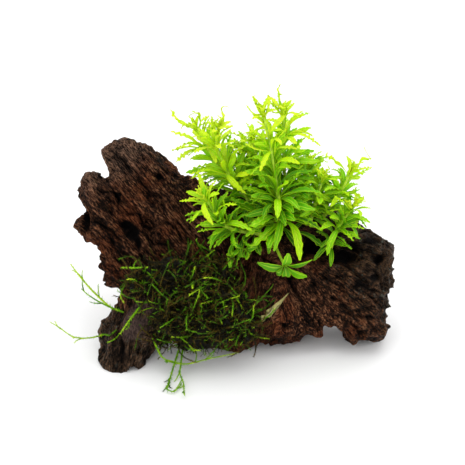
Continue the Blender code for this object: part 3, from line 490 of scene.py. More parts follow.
SHOOTS = 13
TUBE_CORNERS = 6
SPAN_POINTS, FEWEST_POINTS = 12, 4
STEM_SIDES = 8
STEM_STEP = 1 * MM
STEM_FOOT, STEM_TIP = 1.15 * MM, 0.6 * MM
NODE_SWELLING, NODE_REACH = 0.45, 1.6 * MM
BUD_ABOVE_STEM = 1.05 * MM


def surface_of(*nodes):
    """The surface of these solids, to find places on."""
    body = merged_solid(*nodes)
    found = BVHTree.FromBMesh(body)
    body.free()
    return found


def by_index(vertex):
    return vertex.index


def ring_after(ring, left):
    """The corners next to this ring of them that are still left."""
    found = {edge.other_vert(vertex) for vertex in ring for edge in vertex.link_edges}
    return sorted(found & left, key=by_index)


def rings_from(ring, left):
    """This ring of corners and all that follow it through those that are left."""
    rings = []
    while ring:
        rings.append(ring)
        left = left - set(ring)
        ring = ring_after(ring, left)
    return rings


def middle(ring):
    return sum((vertex.co for vertex in ring), Vector()) / len(ring)


def rings_of(node, start):
    """The middle of each ring of a tube's corners, from the end that is nearest to a surface."""
    body = merged_solid(node)
    body.verts.index_update()
    ring = sorted(body.verts, key=lambda vertex: start.find_nearest(vertex.co)[3])[:TUBE_CORNERS]
    found = [middle(corners) for corners in rings_from(ring, set(body.verts))]
    body.free()
    return found


def smooth_line(points, step):
    """Places about a step apart on a smooth curve through these points."""
    points = np.array(points)
    held = np.vstack([2 * points[0] - points[1], points, 2 * points[-1] - points[-2]])
    share = np.linspace(0, 1, SPAN_POINTS, endpoint=False)[:, None]
    spans = []
    for before, start, end, after in zip(held, held[1:], held[2:], held[3:]):
        slope = (end - before) * share
        curve = (2 * before - 5 * start + 4 * end - after) * share**2
        twist = (3 * start - before - 3 * end + after) * share**3
        spans.append(start + (slope + curve + twist) / 2)
    line = np.vstack([*spans, points[-1:]])
    length = np.concatenate([[0], np.cumsum(np.linalg.norm(np.diff(line, axis=0), axis=1))])
    places = np.linspace(0, length[-1], max(FEWEST_POINTS, round(length[-1] / step) + 1))
    return np.stack([np.interp(places, length, line[:, axis]) for axis in range(3)], axis=1)


def stalk(name, line, radii):
    """A round stalk along a line."""
    curve = bpy.data.curves.new(name, "CURVE")
    curve.dimensions = "3D"
    curve.bevel_depth = 1
    curve.bevel_resolution = (STEM_SIDES - 4) // 2
    curve.use_fill_caps = True
    spline = curve.splines.new("POLY")
    spline.points.add(len(line) - 1)
    for point, place, radius in zip(spline.points, line, radii):
        point.co = (*place, 1)
        point.radius = radius
    mesh = made_mesh(in_scene(name, curve))
    bpy.data.curves.remove(curve)
    mesh.shade_smooth()
    return mesh


def stem_material():
    glow = {"subsurface_weight": 0.2, "subsurface_radius": (0.6 * MM, 1.0 * MM, 0.2 * MM)}
    made, start = new_material("young_stem", roughness=0.45, **glow)
    place = start.place()
    streaks = place.noise(300, 3, 0.6).between(0.3, 0.7)
    streaks.colours(colour(132, 180, 16), colour(196, 226, 56)).into("Base Color")
    place.noise(1500, 2, 0.5).bump(0.4, 0.0003).into("Normal")
    return made


class Shoot:
    """A shoot's stem as its solid gives it: its line, and the middle and the way of each ring of leaves."""

    def __init__(self, number, ground):
        self.name = f"shoot_{number}"
        rings = rings_of(f"{self.name}_stem", ground)
        tip = rings[-1] + (rings[-1] - rings[-2]).normalized() * BUD_ABOVE_STEM
        pairs = list(zip(rings[1:-1:2], rings[2:-1:2]))
        self.centres = [(low + high) / 2 for low, high in pairs] + [tip]
        self.axes = [(high - low).normalized() for low, high in pairs] + [(tip - rings[-2]).normalized()]
        self.line = smooth_line([rings[0], *self.centres], STEM_STEP)

    def away_from(self, place):
        """How far each point of the line is from a place."""
        return np.linalg.norm(self.line - np.array(place), axis=1)

    def stem(self, material):
        radii = STEM_FOOT + (STEM_TIP - STEM_FOOT) * np.linspace(0, 1, len(self.line))
        for centre in self.centres[:-1]:
            radii *= 1 + NODE_SWELLING * np.exp(-((self.away_from(centre) / NODE_REACH) ** 2))
        name = f"{self.name}_stalk"
        new_piece(name, stalk(name, self.line, radii), material, "stem", f"{self.name}_stem")


wood_surface = surface_of(*WOOD_NODES)
young_stem = stem_material()
shoots = [Shoot(number, wood_surface) for number in range(1, SHOOTS + 1)]
for shoot in shoots:
    shoot.stem(young_stem)


# Leaves
# Downoi leaves are long and narrow with a pale midrib and wavy margins that are crisped most at the tip. The
# old ones low on the stems are broad and deep green, and the young ones are yellow-green, narrow and rolled.

CHANCE = random.Random(5)
GOLDEN_ANGLE = math.radians(137.5)

# A ring of solid leaves: how far its hub or bud reaches, and how far out in it the leaves start. Then, for
# leaves with three and two rings of corners, where the first one is and its share of the full width.
HUB_REACH, BUD_REACH = 3.0 * MM, 1.9 * MM
HUB_STARTS = 0.3
FIRST_STATION, FIRST_WIDTH = {3: 0.32, 2: 0.5}, {3: 0.75, 2: 1.0}

# The outline of a leaf for its length and width, and where along it the margins crisp and it curls down.
LEAF_THICKNESS = 0.22 * MM
SOLID_WIDTH_KEPT = 0.8
FOOT_WIDTH, FOOT_ENDS = 0.14, 0.06
TAPER_AFTER, TAPER_ENDS, TAPER = 0.08, 1.03, 0.97
CRISPS, CURLS = (0.55, 0.85), (0.5, 1.25)
FOLD_OPENS, FOLD_ROUNDNESS = 0.35, 1.3
MARGINS_APART, WANDER_TURNS = 1.9, 7.2

# Leaves that chance places: how they roll on their own line, bow up and drop at the tip.
LEAF_ROLL, LEAF_BOW = math.radians(38), math.radians(22)
TIP_DROP = 0.06

# Leaves get more light the higher they are and the further out to the sides, which makes them sparser, and
# their
# colour is painted paler there: partly the yellow-green of young growth high up, and partly painted light,
# with the low and inner leaves painted darker as in shade. LIGHT goes from none to full over these heights,
# and further out counts this much as higher.
LIGHT = (78 * MM, 132 * MM)
PLANT_MIDDLE = 30 * MM
OUTWARD = 0.6
RING_TONES, RING_SPREAD = (0.38, 0.95), 0.08
BETWEEN_TONES, BETWEEN_SPREAD = (0.12, 0.88), 0.1

# Faces along and across a leaf, and how they crowd to its tip.
LONG_LEAF, SHORT_LEAF, TUFT_LEAF = (34, 4), (16, 4), (14, 2)
FACES_TO_TIP = 1.4

# A leaf of a top ring that is this much longer than the others is rolled up and twisted.
ROLLED_FROM = 1.2

# The young shoots low on the wood, with smooth oval leaves and no tuft.
SMOOTH_SHOOTS = ("shoot_8", "shoot_9")

# Leaves between the rings of the solids: how far apart their rings are, how many are in one, how long they
# are against the solid leaves near them, their width for their length, and how many degrees they rise in the
# dark and in the light. They keep clear of the wood.
BETWEEN_STEP = 4.3 * MM
BETWEEN_ENDS = 3
BETWEEN_COUNTS = (8, 3)
SPOKE_SPREAD = 0.2
BETWEEN_LENGTH = (0.78, 1.25)
BETWEEN_WIDTH = (0.16, 1.1 * MM)
BETWEEN_RISES, RISE_SPREAD = (26, 62), 20
CLEAR_FROM, CLEAR_LENGTH = 1.5 * MM, 1.1

# In the light no leaves stand out straight to the front, so the stems show there. In the dark they do.
FRONTS = (-1.0, -0.6)

# The tuft at a tip: how many leaves it has and which are rolled up, their length, width and tone, and how
# many degrees the innermost rises and each next one less.
TUFT_COUNT, TUFT_ROLLED_EVERY = 10, 3
TUFT_LENGTH, TUFT_WIDTH = (6 * MM, 11 * MM), 0.28
TUFT_TONE = (0.9, 0.07)
TUFT_RISE, TUFT_OPENS, TUFT_RISE_SPREAD = 88, 4.5, 6


class Leaf:
    """A bowed line from foot to tip, the way across the leaf and its upper side, its width and character."""

    def __init__(self, foot, bend, tip, across, above, width, tone):
        self.foot, self.bend, self.tip = foot, bend, tip
        self.across, self.above = across, above
        self.width = width * SOLID_WIDTH_KEPT
        self.tone = tone
        self.fold = CHANCE.uniform(0.25, 0.7)
        self.ruffle = CHANCE.uniform(0.35, 0.7)
        self.waves = CHANCE.uniform(7, 10)
        self.phase = CHANCE.uniform(0, 2 * math.pi)
        self.curl = CHANCE.gauss(0.1, 0.15)
        self.twist = CHANCE.gauss(0, 0.6)
        self.wander = CHANCE.uniform(0, 0.015)
        self.broadest = CHANCE.uniform(0.58, 0.7)

    def roll(self):
        """Rolls the leaf up and twists its end like a ribbon."""
        self.width *= 0.75
        self.fold = CHANCE.uniform(0.7, 1.1)
        self.twist = CHANCE.choice((-1, 1)) * CHANCE.uniform(5, 9)
        self.wander = CHANCE.uniform(0.02, 0.05)

    def smooth(self):
        """Makes the leaf a deep green oval, which is short where it would hide the rest of the rosette."""
        self.width *= 1.8
        self.tone -= 0.16
        self.ruffle = 0.06
        self.curl = CHANCE.gauss(0.08, 0.05)
        self.broadest = 0.5
        way = (self.tip - self.foot).normalized()
        lower_left = max(0, -way.z) * max(0, -way.x)
        kept = max(0.35, 0.56 + 0.6 * abs(way.x) - 1.6 * lower_left)
        self.tip = self.foot + (self.tip - self.foot) * kept


def leaf_blank(along, across):
    """A flat leaf's faces, and each corner's share along it and across it."""
    body = bmesh.new()
    bmesh.ops.create_grid(body, x_segments=along, y_segments=across, size=1)
    body.verts.index_update()
    places = np.array([vertex.co[:2] for vertex in body.verts])
    faces = np.array([[vertex.index for vertex in face.verts] for face in body.faces])
    body.free()
    return 1 - (1 - (places[:, 0] + 1) / 2) ** FACES_TO_TIP, places[:, 1], faces


def unit(vectors):
    return vectors / np.linalg.norm(vectors, axis=-1, keepdims=True)


def dot(first, second):
    return np.sum(first * second, axis=-1, keepdims=True)


def square_to(heading, ways):
    """These ways, turned square to a heading."""
    return unit(ways - heading * dot(ways, heading))


def leaf_points(leaves, t, s):
    """The corners of all of these leaves, each drawn from the flat one."""
    def each(name):
        values = np.array([getattr(leaf, name) for leaf in leaves], float)
        return values[:, None, :] if values.ndim == 2 else values[:, None]
    foot, bend, tip = each("foot"), each("bend"), each("tip")
    along = t[None, :, None]
    spine = foot * (1 - along) ** 2 + bend * 2 * along * (1 - along) + tip * along**2
    heading = unit((bend - foot) * (1 - along) + (tip - bend) * along)
    side = square_to(heading, each("across"))
    up = np.cross(heading, side)
    flip = np.sign(dot(up, each("above")))
    side, up = side * flip, up * flip
    turn = (each("twist") * t**3)[..., None]
    side, up = side * np.cos(turn) + up * np.sin(turn), up * np.cos(turn) - side * np.sin(turn)
    length = np.linalg.norm(tip - foot, axis=2)
    broadest = each("broadest")
    swelling = FOOT_WIDTH + (1 - FOOT_WIDTH) * smooth_step(t, FOOT_ENDS, broadest)
    tapering = np.sqrt(np.clip(1 - smooth_step(t, broadest + TAPER_AFTER, TAPER_ENDS) * TAPER, 0, 1))
    half = each("width") / 2 * swelling * tapering
    crisp = smooth_step(t, *CRISPS)
    wave = 2 * math.pi * each("waves") * t + each("phase") + np.where(s > 0, MARGINS_APART, 0)
    fold = each("fold") * (1 - FOLD_OPENS * t)
    flat = 1 / np.sqrt(1 + fold**2)
    folded = np.abs(s) ** FOLD_ROUNDNESS * fold * flat
    rise = half * (folded + each("ruffle") * s**2 * np.sin(wave) * crisp)
    rise = rise - each("curl") * length * smooth_step(t, *CURLS)
    wander = each("wander") * length * np.sin(WANDER_TURNS * wave / each("waves")) * crisp
    return spine + side * (half * s * flat + wander)[..., None] + up * rise[..., None]


def joined_mesh(name, parts):
    """One mesh of several parts. Each has its corners, its faces, and values at its corners by name."""
    points, faces, values = zip(*parts)
    starts = np.cumsum([0] + [len(part) for part in points])
    faces = np.concatenate([part + start for part, start in zip(faces, starts)])
    mesh = bpy.data.meshes.new(name)
    mesh.from_pydata(np.concatenate(points), [], faces.tolist())
    for key in values[0]:
        set_values(mesh, **{key: np.concatenate([part[key] for part in values])})
    mesh.shade_smooth()
    return mesh


def leafy_mesh(name, groups):
    """All the leaves of a shoot as one mesh. Each group has its own flat leaf."""
    parts = []
    for blank, leaves in groups:
        t, s, corners = leaf_blank(*blank)
        points = leaf_points(leaves, t, s).reshape(-1, 3)
        starts = len(t) * np.arange(len(leaves))[:, None, None]
        tones = np.repeat([leaf.tone for leaf in leaves], len(t))
        values = {"tone": tones, "along": np.tile(t, len(leaves)), "across": np.tile(s, len(leaves))}
        parts.append((points, (corners + starts).reshape(-1, 4), values))
    return joined_mesh(name, parts)


def leaves_of_solid(node, centre, axis, reach, tone, smooth):
    """The leaves of one ring, read from their plain solids."""
    body = merged_solid(node)
    body.verts.index_update()
    hub = {vertex for vertex in body.verts if (vertex.co - centre).length < reach}
    left = set(body.verts) - hub
    found = []
    for first in sorted(left, key=by_index):
        if first not in left:
            continue
        corners = set().union(*rings_from([first], left))
        left -= corners
        root = sorted((vertex for vertex in corners if ring_after([vertex], hub)), key=by_index)
        rings = rings_from(root, corners)
        if len(rings) not in FIRST_STATION:
            continue
        sides = sorted((vertex.co - rings[0][0].co for vertex in rings[0][1:]), key=lambda way: way.length)
        t = FIRST_STATION[len(rings)]
        foot, tip = middle(ring_after(root, hub)), middle(rings[-1])
        bend = (middle(rings[0]) - foot * (1 - t) ** 2 - tip * t**2) / (2 * t * (1 - t))
        width = sides[1].length / FIRST_WIDTH[len(rings)]
        start = centre + (foot - centre) * HUB_STARTS
        leaf = Leaf(start, bend, tip, sides[1], axis, width, CHANCE.gauss(tone, RING_SPREAD))
        if smooth:
            leaf.smooth()
        found.append(leaf)
    body.free()
    return found


def leaf_from(place, axis, spoke, rise, length, width, tone):
    """A leaf that grows out from a place on the stem, bowed, with its tip bent down a little."""
    flat, steep = spoke * math.cos(rise) + axis * math.sin(rise), rise + LEAF_BOW
    bend = place + (spoke * math.cos(steep) + axis * math.sin(steep)) * length / 2
    tip = place + flat * length - Vector((0, 0, TIP_DROP * length))
    across = axis.cross(spoke) @ Matrix.Rotation(CHANCE.gauss(0, LEAF_ROLL), 3, flat)
    return Leaf(place, bend, tip, across, axis, width, tone)


def across_any(axis, angle):
    """A way square to the axis, turned round it by an angle."""
    return axis.orthogonal().normalized() @ Matrix.Rotation(-angle, 3, axis)


def by_light(place, values):
    """A value between these two, after how much light this place gets."""
    height = place[2] + OUTWARD * abs(place[0] - PLANT_MIDDLE)
    return float(np.interp(height, LIGHT, values))


def clear_of_wood(leaf, spoke):
    way = leaf.tip - leaf.foot
    start = leaf.foot + spoke * CLEAR_FROM
    return wood_surface.ray_cast(start, way.normalized(), way.length * CLEAR_LENGTH)[0] is None


def leaves_between(shoot, lengths):
    """Leaves all along the stem, which make the shoot as full as it is, clear of the wood."""
    found = []
    marks = [int(np.argmin(shoot.away_from(centre))) for centre in shoot.centres]
    step = round(BETWEEN_STEP / STEM_STEP)
    angle = CHANCE.uniform(0, math.pi)
    for index in range(BETWEEN_ENDS, len(shoot.line) - BETWEEN_ENDS, step):
        place = Vector(shoot.line[index])
        axis = Vector(shoot.line[index + 1] - shoot.line[index - 1]).normalized()
        near = np.interp(index, marks, lengths)
        # Painted paler higher up and further out: partly young growth, partly painted light, with inner
        # leaves painted darker as in shade.
        tone = by_light(place, BETWEEN_TONES)
        for _ in range(round(by_light(place, BETWEEN_COUNTS))):
            angle += GOLDEN_ANGLE + CHANCE.gauss(0, SPOKE_SPREAD)
            spoke = across_any(axis, angle)
            if spoke.y < by_light(place, FRONTS):
                continue
            rise = math.radians(CHANCE.gauss(by_light(place, BETWEEN_RISES), RISE_SPREAD))
            length = near * CHANCE.uniform(*BETWEEN_LENGTH)
            width = BETWEEN_WIDTH[0] * length + BETWEEN_WIDTH[1]
            shade = CHANCE.gauss(tone, BETWEEN_SPREAD)
            leaf = leaf_from(place, axis, spoke, rise, length, width, shade)
            if clear_of_wood(leaf, spoke):
                found.append(leaf)
    return found


def tuft(shoot):
    """The smallest leaves, crowded round the bud."""
    place, axis = shoot.centres[-1], shoot.axes[-1]
    found = []
    for number in range(TUFT_COUNT):
        spoke = across_any(axis, number * GOLDEN_ANGLE)
        rise = math.radians(CHANCE.gauss(TUFT_RISE - TUFT_OPENS * number, TUFT_RISE_SPREAD))
        length = CHANCE.uniform(*TUFT_LENGTH)
        leaf = leaf_from(place, axis, spoke, rise, length, TUFT_WIDTH * length, CHANCE.gauss(*TUFT_TONE))
        if number % TUFT_ROLLED_EVERY == 0:
            leaf.roll()
        found.append(leaf)
    return found


def leaf_material():
    glow = {"subsurface_weight": 0.5, "subsurface_radius": (0.6 * MM, 1.0 * MM, 0.1 * MM)}
    made, start = new_material("downoi_leaf", roughness=0.5, specular_ior_level=0.2, **glow)
    along = start.attribute("along")
    away = abs(start.attribute("across"))
    mottle = start.place().noise(260, 3, 0.6)
    age = (start.attribute("tone") + (mottle - 0.5) * 0.4 + along * 0.2 - 0.05).clamped()
    ages = {0: (34, 88, 0), 0.3: (92, 166, 1), 0.6: (158, 218, 2), 0.85: (200, 240, 10), 1: (220, 250, 44)}
    green = age.ramp(ages)
    veins = start.maths("SINE", along * 70 - away * 12)
    blade = ((veins * 0.5 + 0.5) * mottle.between(0.35, 0.6) * 0.42).clamped()
    green = blade.colours(green, colour(66, 130, 0))
    rib = (1 - away.between(0.05, 0.2)) * 0.45
    green = rib.colours(green, colour(206, 234, 66))
    # Painted light: the thin margins are painted paler, as if light shone through them.
    margin = away.between(0.78, 1.0) * 0.35
    margin.colours(green, colour(212, 244, 30)).into("Base Color")
    (veins * 0.25 + mottle * 0.5 - rib).bump(0.5, 0.0004).into("Normal")
    return made


def give_wall(obj, thickness):
    """Makes a leaf's flat faces this thick."""
    wall = obj.modifiers.new("wall", "SOLIDIFY")
    wall.thickness = thickness
    wall.offset = 0


downoi_leaf = leaf_material()
for shoot in shoots:
    smooth = shoot.name in SMOOTH_SHOOTS
    long_leaves, lengths, nodes = [], [], []
    for level, (centre, axis) in enumerate(zip(shoot.centres, shoot.axes), start=1):
        nodes.append(f"{shoot.name}_leaves_{level}")
        last = level == len(shoot.centres)
        reach = BUD_REACH if last else HUB_REACH
        # Painted paler higher up and further out: partly young growth, partly painted light, with inner
        # leaves painted darker as in shade.
        tone = by_light(centre, RING_TONES)
        ring = leaves_of_solid(nodes[-1], centre, axis, reach, tone, smooth)
        lengths.append(sorted((leaf.tip - leaf.foot).length for leaf in ring)[len(ring) // 2])
        for leaf in ring:
            if last and (leaf.tip - leaf.foot).length > ROLLED_FROM * lengths[-1]:
                leaf.roll()
        long_leaves += ring
    groups = [(LONG_LEAF, long_leaves)]
    if not smooth:
        groups += [(SHORT_LEAF, leaves_between(shoot, lengths)), (TUFT_LEAF, tuft(shoot))]
    name = f"{shoot.name}_foliage"
    foliage = new_piece(name, leafy_mesh(name, groups), downoi_leaf, "leaf", *nodes)
    give_wall(foliage, LEAF_THICKNESS)


# Moss
# A dense cushion of feathery moss grips the lower left of the face. Its oldest growth is brown and almost
# black, and fresh green strands stand out of it, trail over the wood and hang down to the ground.

MOSS_CHANCE = np.random.default_rng(7)
OFF_GROUND = 0.2 * MM

# The colours go from the dark heart to the freshest tips. The heart is sunk below its solid and rough.
MOSS_SHADES = {
    0: (8, 6, 2), 0.26: (34, 32, 9), 0.4: (88, 70, 20),
    0.5: (42, 68, 8), 0.76: (98, 156, 10), 1: (192, 220, 40),
}
HEART_TONE = 0.02
MOSS_VOXEL, MOSS_SOFTENING = 0.9 * MM, 6
MOSS_SUNK = 0.8
MOSS_KNOBS, MOSS_MOUNDS = (2.6, 1.8, 6), (6, 2.2, 8)

# A strand's stem thins out to its tip. Its leaflets go round it by this turn, lean off it and get smaller to
# its tip. A leaflet's half width and its heel are shares of its length.
STRAND_TAPER = 0.6
LEAFLET_SPAN = (0.04, 0.999)
LEAFLET_TURN, TURN_SPREAD = 2.45, 0.35
LEAFLET_LEANS = (0.5, 0.95)
LEAFLET_SIZES, LEAFLET_TAPER = (0.7, 1.2), 0.35
LEAFLET_WIDTH, HEEL_OUT, HEEL_BACK = 0.22, 0.14, 0.1
SHADING = 0.8

# Sprigs: how many, points along one, leaflets on one, the range of their lengths, their radius, how long a
# leaflet is, and how much paler they are.
SPRIGS = [
    (1150, 5, 14, (5 * MM, 10 * MM), 0.2 * MM, 1.5 * MM, 0),
    (240, 9, 40, (12 * MM, 22 * MM), 0.3 * MM, 1.9 * MM, 0.2),
]
SPRIG_TONES, SPRIG_ROOT_TONE = (1.2, 1.9), 0.25
SPRIG_ROOT = 0.6 * MM

# Most sprigs grow in clumps, and where the moss faces this way.
CLUMPS, CLUMP_EDGES, BETWEEN_CLUMPS = (7, 1, 14), (-0.25, 0.2), 0.25
GROWING_WAY = (0, -0.5, 0.87)
GROWING_LEVEL, GROWING_LEAST = 0.35, 0.05

# How sprigs stand up at first and bend. They lean back to the moss the more the higher they get, and most at
# FULL_RISE.
STANDING = (0.1, 0.75)
SPRIG_SIDEWAYS, SPRIG_BEND, SPRIG_WOBBLE = 0.7, 0.25, 0.12
CREEPING, FULL_RISE = 0.5, 7 * MM

# The strands of the solids: radius in millimetres, and tone. Their leaflets are this many times longer than
# the radius, and this many for each point of the line.
STRAND_STEP, STRAND_DIVE = 0.55 * MM, 0.6
STRAND_LEAFLET, STRAND_LEAFLETS, STRAND_LEANS = 3.4, 1.2, (0.7, 1.3)
STRAND_ROOT_TONE = 0.88
STRANDS = [
    (0.45, 0.95), (0.65, 1.0), (0.55, 0.8), (0.65, 0.86), (0.6, 0.8),
    (0.35, 0.6), (0.6, 0.82), (0.55, 0.82), (0.5, 0.9), (0.35, 0.66),
]

# Their side twigs, one for every so many points of the line.
TWIG_SPACING, TWIG_STEPS = 18, 6
TWIG_LENGTH = (4 * MM, 9 * MM)
TWIG_FORWARD, TWIG_SIDEWAYS, TWIG_BEND = 1.2, 0.6, 0.1
TWIG_RADIUS, TWIG_LEAFLET, TWIG_LEAFLETS = 0.36 * MM, 1.5 * MM, 16
TWIG_TONES = (0.85, 1.05)

# Runners that creep over the wood and the moss: radius and tone, and the way across the face in millimetres.
RUNNER_LEAFLET, RUNNER_LEAFLETS = 1.3 * MM, 4
RUNNER_ROOT_TONE, RUNNER_OFF = 0.8, 0.2
ROUTE_STEP, ROUTE_ABOVE = 1.5, 80
RUNNERS = [
    (0.3, 0.95, [(-1, -31.5), (2.4, -35), (6.8, -42.5)]),
    (0.3, 0.62, [(23, -35.5), (16, -41), (9.5, -44)]),
    (0.35, 0.9, [(9, -53), (13.5, -56.5), (20, -58)]),
    (0.3, 0.6, [(-35, -4), (-34, -10.5), (-32, -16), (-31, -21)]),
    (0.3, 0.66, [(-24, -3), (-24, -10), (-27, -18)]),
    (0.3, 0.66, [(-15, -4), (-18.6, -10.5), (-25, -16), (-29, -21)]),
    (0.35, 0.9, [(-33, -42), (-40, -40), (-46, -41), (-50, -43)]),
    (0.35, 0.85, [(-60, -54), (-63, -57), (-67, -59)]),
    (0.3, 0.7, [(-62, -52), (-66, -55), (-71, -55.5)]),
    (0.3, 0.8, [(-12, -22), (-6, -20), (-2, -16), (1, -14)]),
    (0.3, 0.75, [(-20, -24), (-14, -27), (-4, -27), (2, -31)]),
    (0.45, 0.78, [(-50, -19.5), (-44.8, -21.4), (-39.4, -27.4), (-34, -32.3)]),
    (0.3, 0.5, [(-50, -17), (-47, -22), (-46, -27)]),
    (0.3, 0.5, [(-45, -13), (-43, -20), (-42, -27)]),
]


def stem_faces(points):
    """The faces of a three-sided stem with this many rings of corners."""
    step = np.arange(points - 1)[:, None, None] * 3
    corner = np.arange(3)[None, :, None]
    after = (corner + 1) % 3
    low = np.concatenate([step + corner, step + after, step + after + 3], axis=2)
    high = np.concatenate([step + corner, step + after + 3, step + corner + 3], axis=2)
    ends = np.array([[2, 1, 0], [points * 3 - 3, points * 3 - 2, points * 3 - 1]])
    return np.concatenate([low.reshape(-1, 3), high.reshape(-1, 3), ends])


def feathers(paths, radius, leaflet, count, leans=LEAFLET_LEANS):
    """Leafy strands along paths with the same number of points: the corners, the faces, and how far along
    its strand each corner of one is."""
    strands, points = paths.shape[:2]
    heading = unit(np.gradient(paths, axis=1))
    first = square_to(heading, MOSS_CHANCE.normal(size=(strands, 1, 3)))
    second = np.cross(heading, first)
    thickness = radius * (1 - STRAND_TAPER * np.linspace(0, 1, points) ** 2)
    rings = []
    for angle in np.radians((0, 120, 240)):
        outwards = first * math.cos(angle) + second * math.sin(angle)
        rings.append(paths + outwards * thickness[None, :, None])
    stem = np.stack(rings, axis=2).reshape(strands, points * 3, 3)
    spots = np.linspace(*LEAFLET_SPAN, count) * (points - 1)
    before = np.minimum(spots.astype(int), points - 2)
    share = (spots - before)[None, :, None]

    def between(values):
        return values[:, before] * (1 - share) + values[:, before + 1] * share

    each = (strands, count, 1)
    turn = LEAFLET_TURN * np.arange(count)[:, None] + MOSS_CHANCE.normal(0, TURN_SPREAD, each)
    base, ahead = between(paths), unit(between(heading))
    out = unit(between(first) * np.cos(turn) + between(second) * np.sin(turn))
    lean = MOSS_CHANCE.uniform(*leans, each)
    size = leaflet * MOSS_CHANCE.uniform(*LEAFLET_SIZES, each)
    size *= 1 - LEAFLET_TAPER * spots[:, None] / points
    side = np.cross(ahead, out) * LEAFLET_WIDTH
    corners = [
        base - side * size,
        base + side * size,
        base + (out * HEEL_OUT - ahead * HEEL_BACK) * size,
        base + (ahead * np.cos(lean) + out * np.sin(lean)) * size,
    ]
    leaflets = np.stack(corners, axis=2).reshape(strands, count * 4, 3)
    one_leaflet = np.array([[0, 3, 1], [1, 3, 2], [2, 3, 0], [0, 1, 2]])
    leaflet_faces = (one_leaflet + points * 3 + np.arange(count)[:, None, None] * 4).reshape(-1, 3)
    one = np.concatenate([stem_faces(points), leaflet_faces])
    reach = np.concatenate([np.repeat(np.linspace(0, 1, points), 3), np.repeat(spots / (points - 1), 4)])
    every = (one + len(reach) * np.arange(strands)[:, None, None]).reshape(-1, 3)
    return np.concatenate([stem, leaflets], axis=1).reshape(-1, 3), every, reach


def moss_mesh(name, sets, root_tone):
    """One mesh of sets of strands. Each has its tone at its tip, and this share of it at its root."""
    parts = []
    for (corners, triangles, reach), tones in sets:
        corners[:, 2] = np.maximum(corners[:, 2], OFF_GROUND)
        shades = tones[:, None] * (root_tone + (1 - root_tone) * reach**SHADING)
        parts.append((corners, triangles, {"tone": shades.ravel()}))
    mesh = joined_mesh(name, parts)
    body = bmesh.new()
    body.from_mesh(mesh)
    bmesh.ops.recalc_face_normals(body, faces=body.faces)
    body.to_mesh(mesh)
    body.free()
    mesh.shade_flat()
    return mesh


def moss_cushion():
    """The dark heart of the moss, which the sprigs grow from."""
    mesh = voxel_skin("moss_heart", merged_solid("moss_clump"), MOSS_VOXEL, MOSS_SOFTENING)
    points = corners_of(mesh)
    rough = layer_at(points / MM, MOSS_KNOBS) + layer_at(points / MM, MOSS_MOUNDS)
    points += corners_of(mesh, "normal") * (rough - MOSS_SUNK)[:, None] * MM
    points[:, 2] = np.maximum(points[:, 2], OFF_GROUND)
    mesh.vertices.foreach_set("co", points.ravel())
    set_values(mesh, tone=np.full(len(points), HEART_TONE))
    mesh.shade_smooth()
    return mesh


def paths_from(place, way, step, points, turned):
    """Paths from these places, the ways of which are turned after each step."""
    path = [place]
    while len(path) < points:
        path.append(path[-1] + way * step)
        way = turned(path, way)
    return np.stack(path, axis=1)


def grown_from(mesh, count, points, lengths):
    """Paths of sprigs that start all over a mesh and bend as they grow."""
    mesh.calc_loop_triangles()
    triangles = np.array([triangle.vertices[:] for triangle in mesh.loop_triangles])
    a, b, c = corners_of(mesh)[triangles.T]
    square = np.cross(b - a, c - a)
    area = np.linalg.norm(square, axis=1)
    facing = square / area[:, None]
    clumped = smooth_step(layer_at(a / MM, CLUMPS), *CLUMP_EDGES)
    growing = np.clip(facing @ np.array(GROWING_WAY) + GROWING_LEVEL, GROWING_LEAST, None)
    weight = area * growing * (BETWEEN_CLUMPS + clumped)
    picked = MOSS_CHANCE.choice(len(triangles), count, p=weight / weight.sum())
    u, v = MOSS_CHANCE.random((2, count, 1))
    u, v = np.where(u + v > 1, 1 - u, u), np.where(u + v > 1, 1 - v, v)
    place = a[picked] + (b - a)[picked] * u + (c - a)[picked] * v
    normal = facing[picked]
    standing = normal * MOSS_CHANCE.uniform(*STANDING, (count, 1))
    way = unit(standing + MOSS_CHANCE.normal(0, SPRIG_SIDEWAYS, (count, 3)))
    bend = MOSS_CHANCE.normal(0, SPRIG_BEND, (count, 3))
    step = MOSS_CHANCE.uniform(*lengths, (count, 1)) / (points - 1)

    def turned(path, way):
        into = np.minimum(dot(way, normal), 0)
        back = np.clip(dot(path[-1] - path[0], normal) / FULL_RISE, 0, 1) * CREEPING
        return unit(way + bend + MOSS_CHANCE.normal(0, SPRIG_WOBBLE, (count, 3)) - normal * (into + back))

    return paths_from(place - normal * SPRIG_ROOT, way, step, points, turned)


def twigs_of(line):
    """Short side shoots of a strand, forward and to its sides."""
    count = max(1, len(line) // TWIG_SPACING)
    starts = MOSS_CHANCE.integers(len(line) // 5, len(line) - 2, count)
    forward = unit(line[starts + 1] - line[starts]) * TWIG_FORWARD
    way = unit(forward + MOSS_CHANCE.normal(0, TWIG_SIDEWAYS, (count, 3)))
    bend = MOSS_CHANCE.normal(0, TWIG_BEND, (count, 3))
    step = MOSS_CHANCE.uniform(*TWIG_LENGTH, (count, 1)) / TWIG_STEPS
    return paths_from(line[starts], way, step, TWIG_STEPS + 1, lambda path, way: unit(way + bend))


def skin_of(mesh):
    faces = [face.vertices[:] for face in mesh.polygons]
    return BVHTree.FromPolygons(corners_of(mesh).tolist(), faces)


def over_surface(radius, route):
    """The line of a runner, laid on the wood or on the moss."""
    down = -FACE.to_3x3().col[2]
    line = []
    for place in smooth_line([(x, y, ROUTE_ABOVE) for x, y in route], ROUTE_STEP):
        above = FACE @ (Vector(place) * MM)
        hits = [tree.ray_cast(above, down)[0] for tree in (dressed_wood, dressed_moss)]
        hit = min((hit for hit in hits if hit), key=lambda place: (place - above).length)
        line.append(hit - down * (radius + RUNNER_OFF) * MM)
    return smooth_line(line, STRAND_STEP)


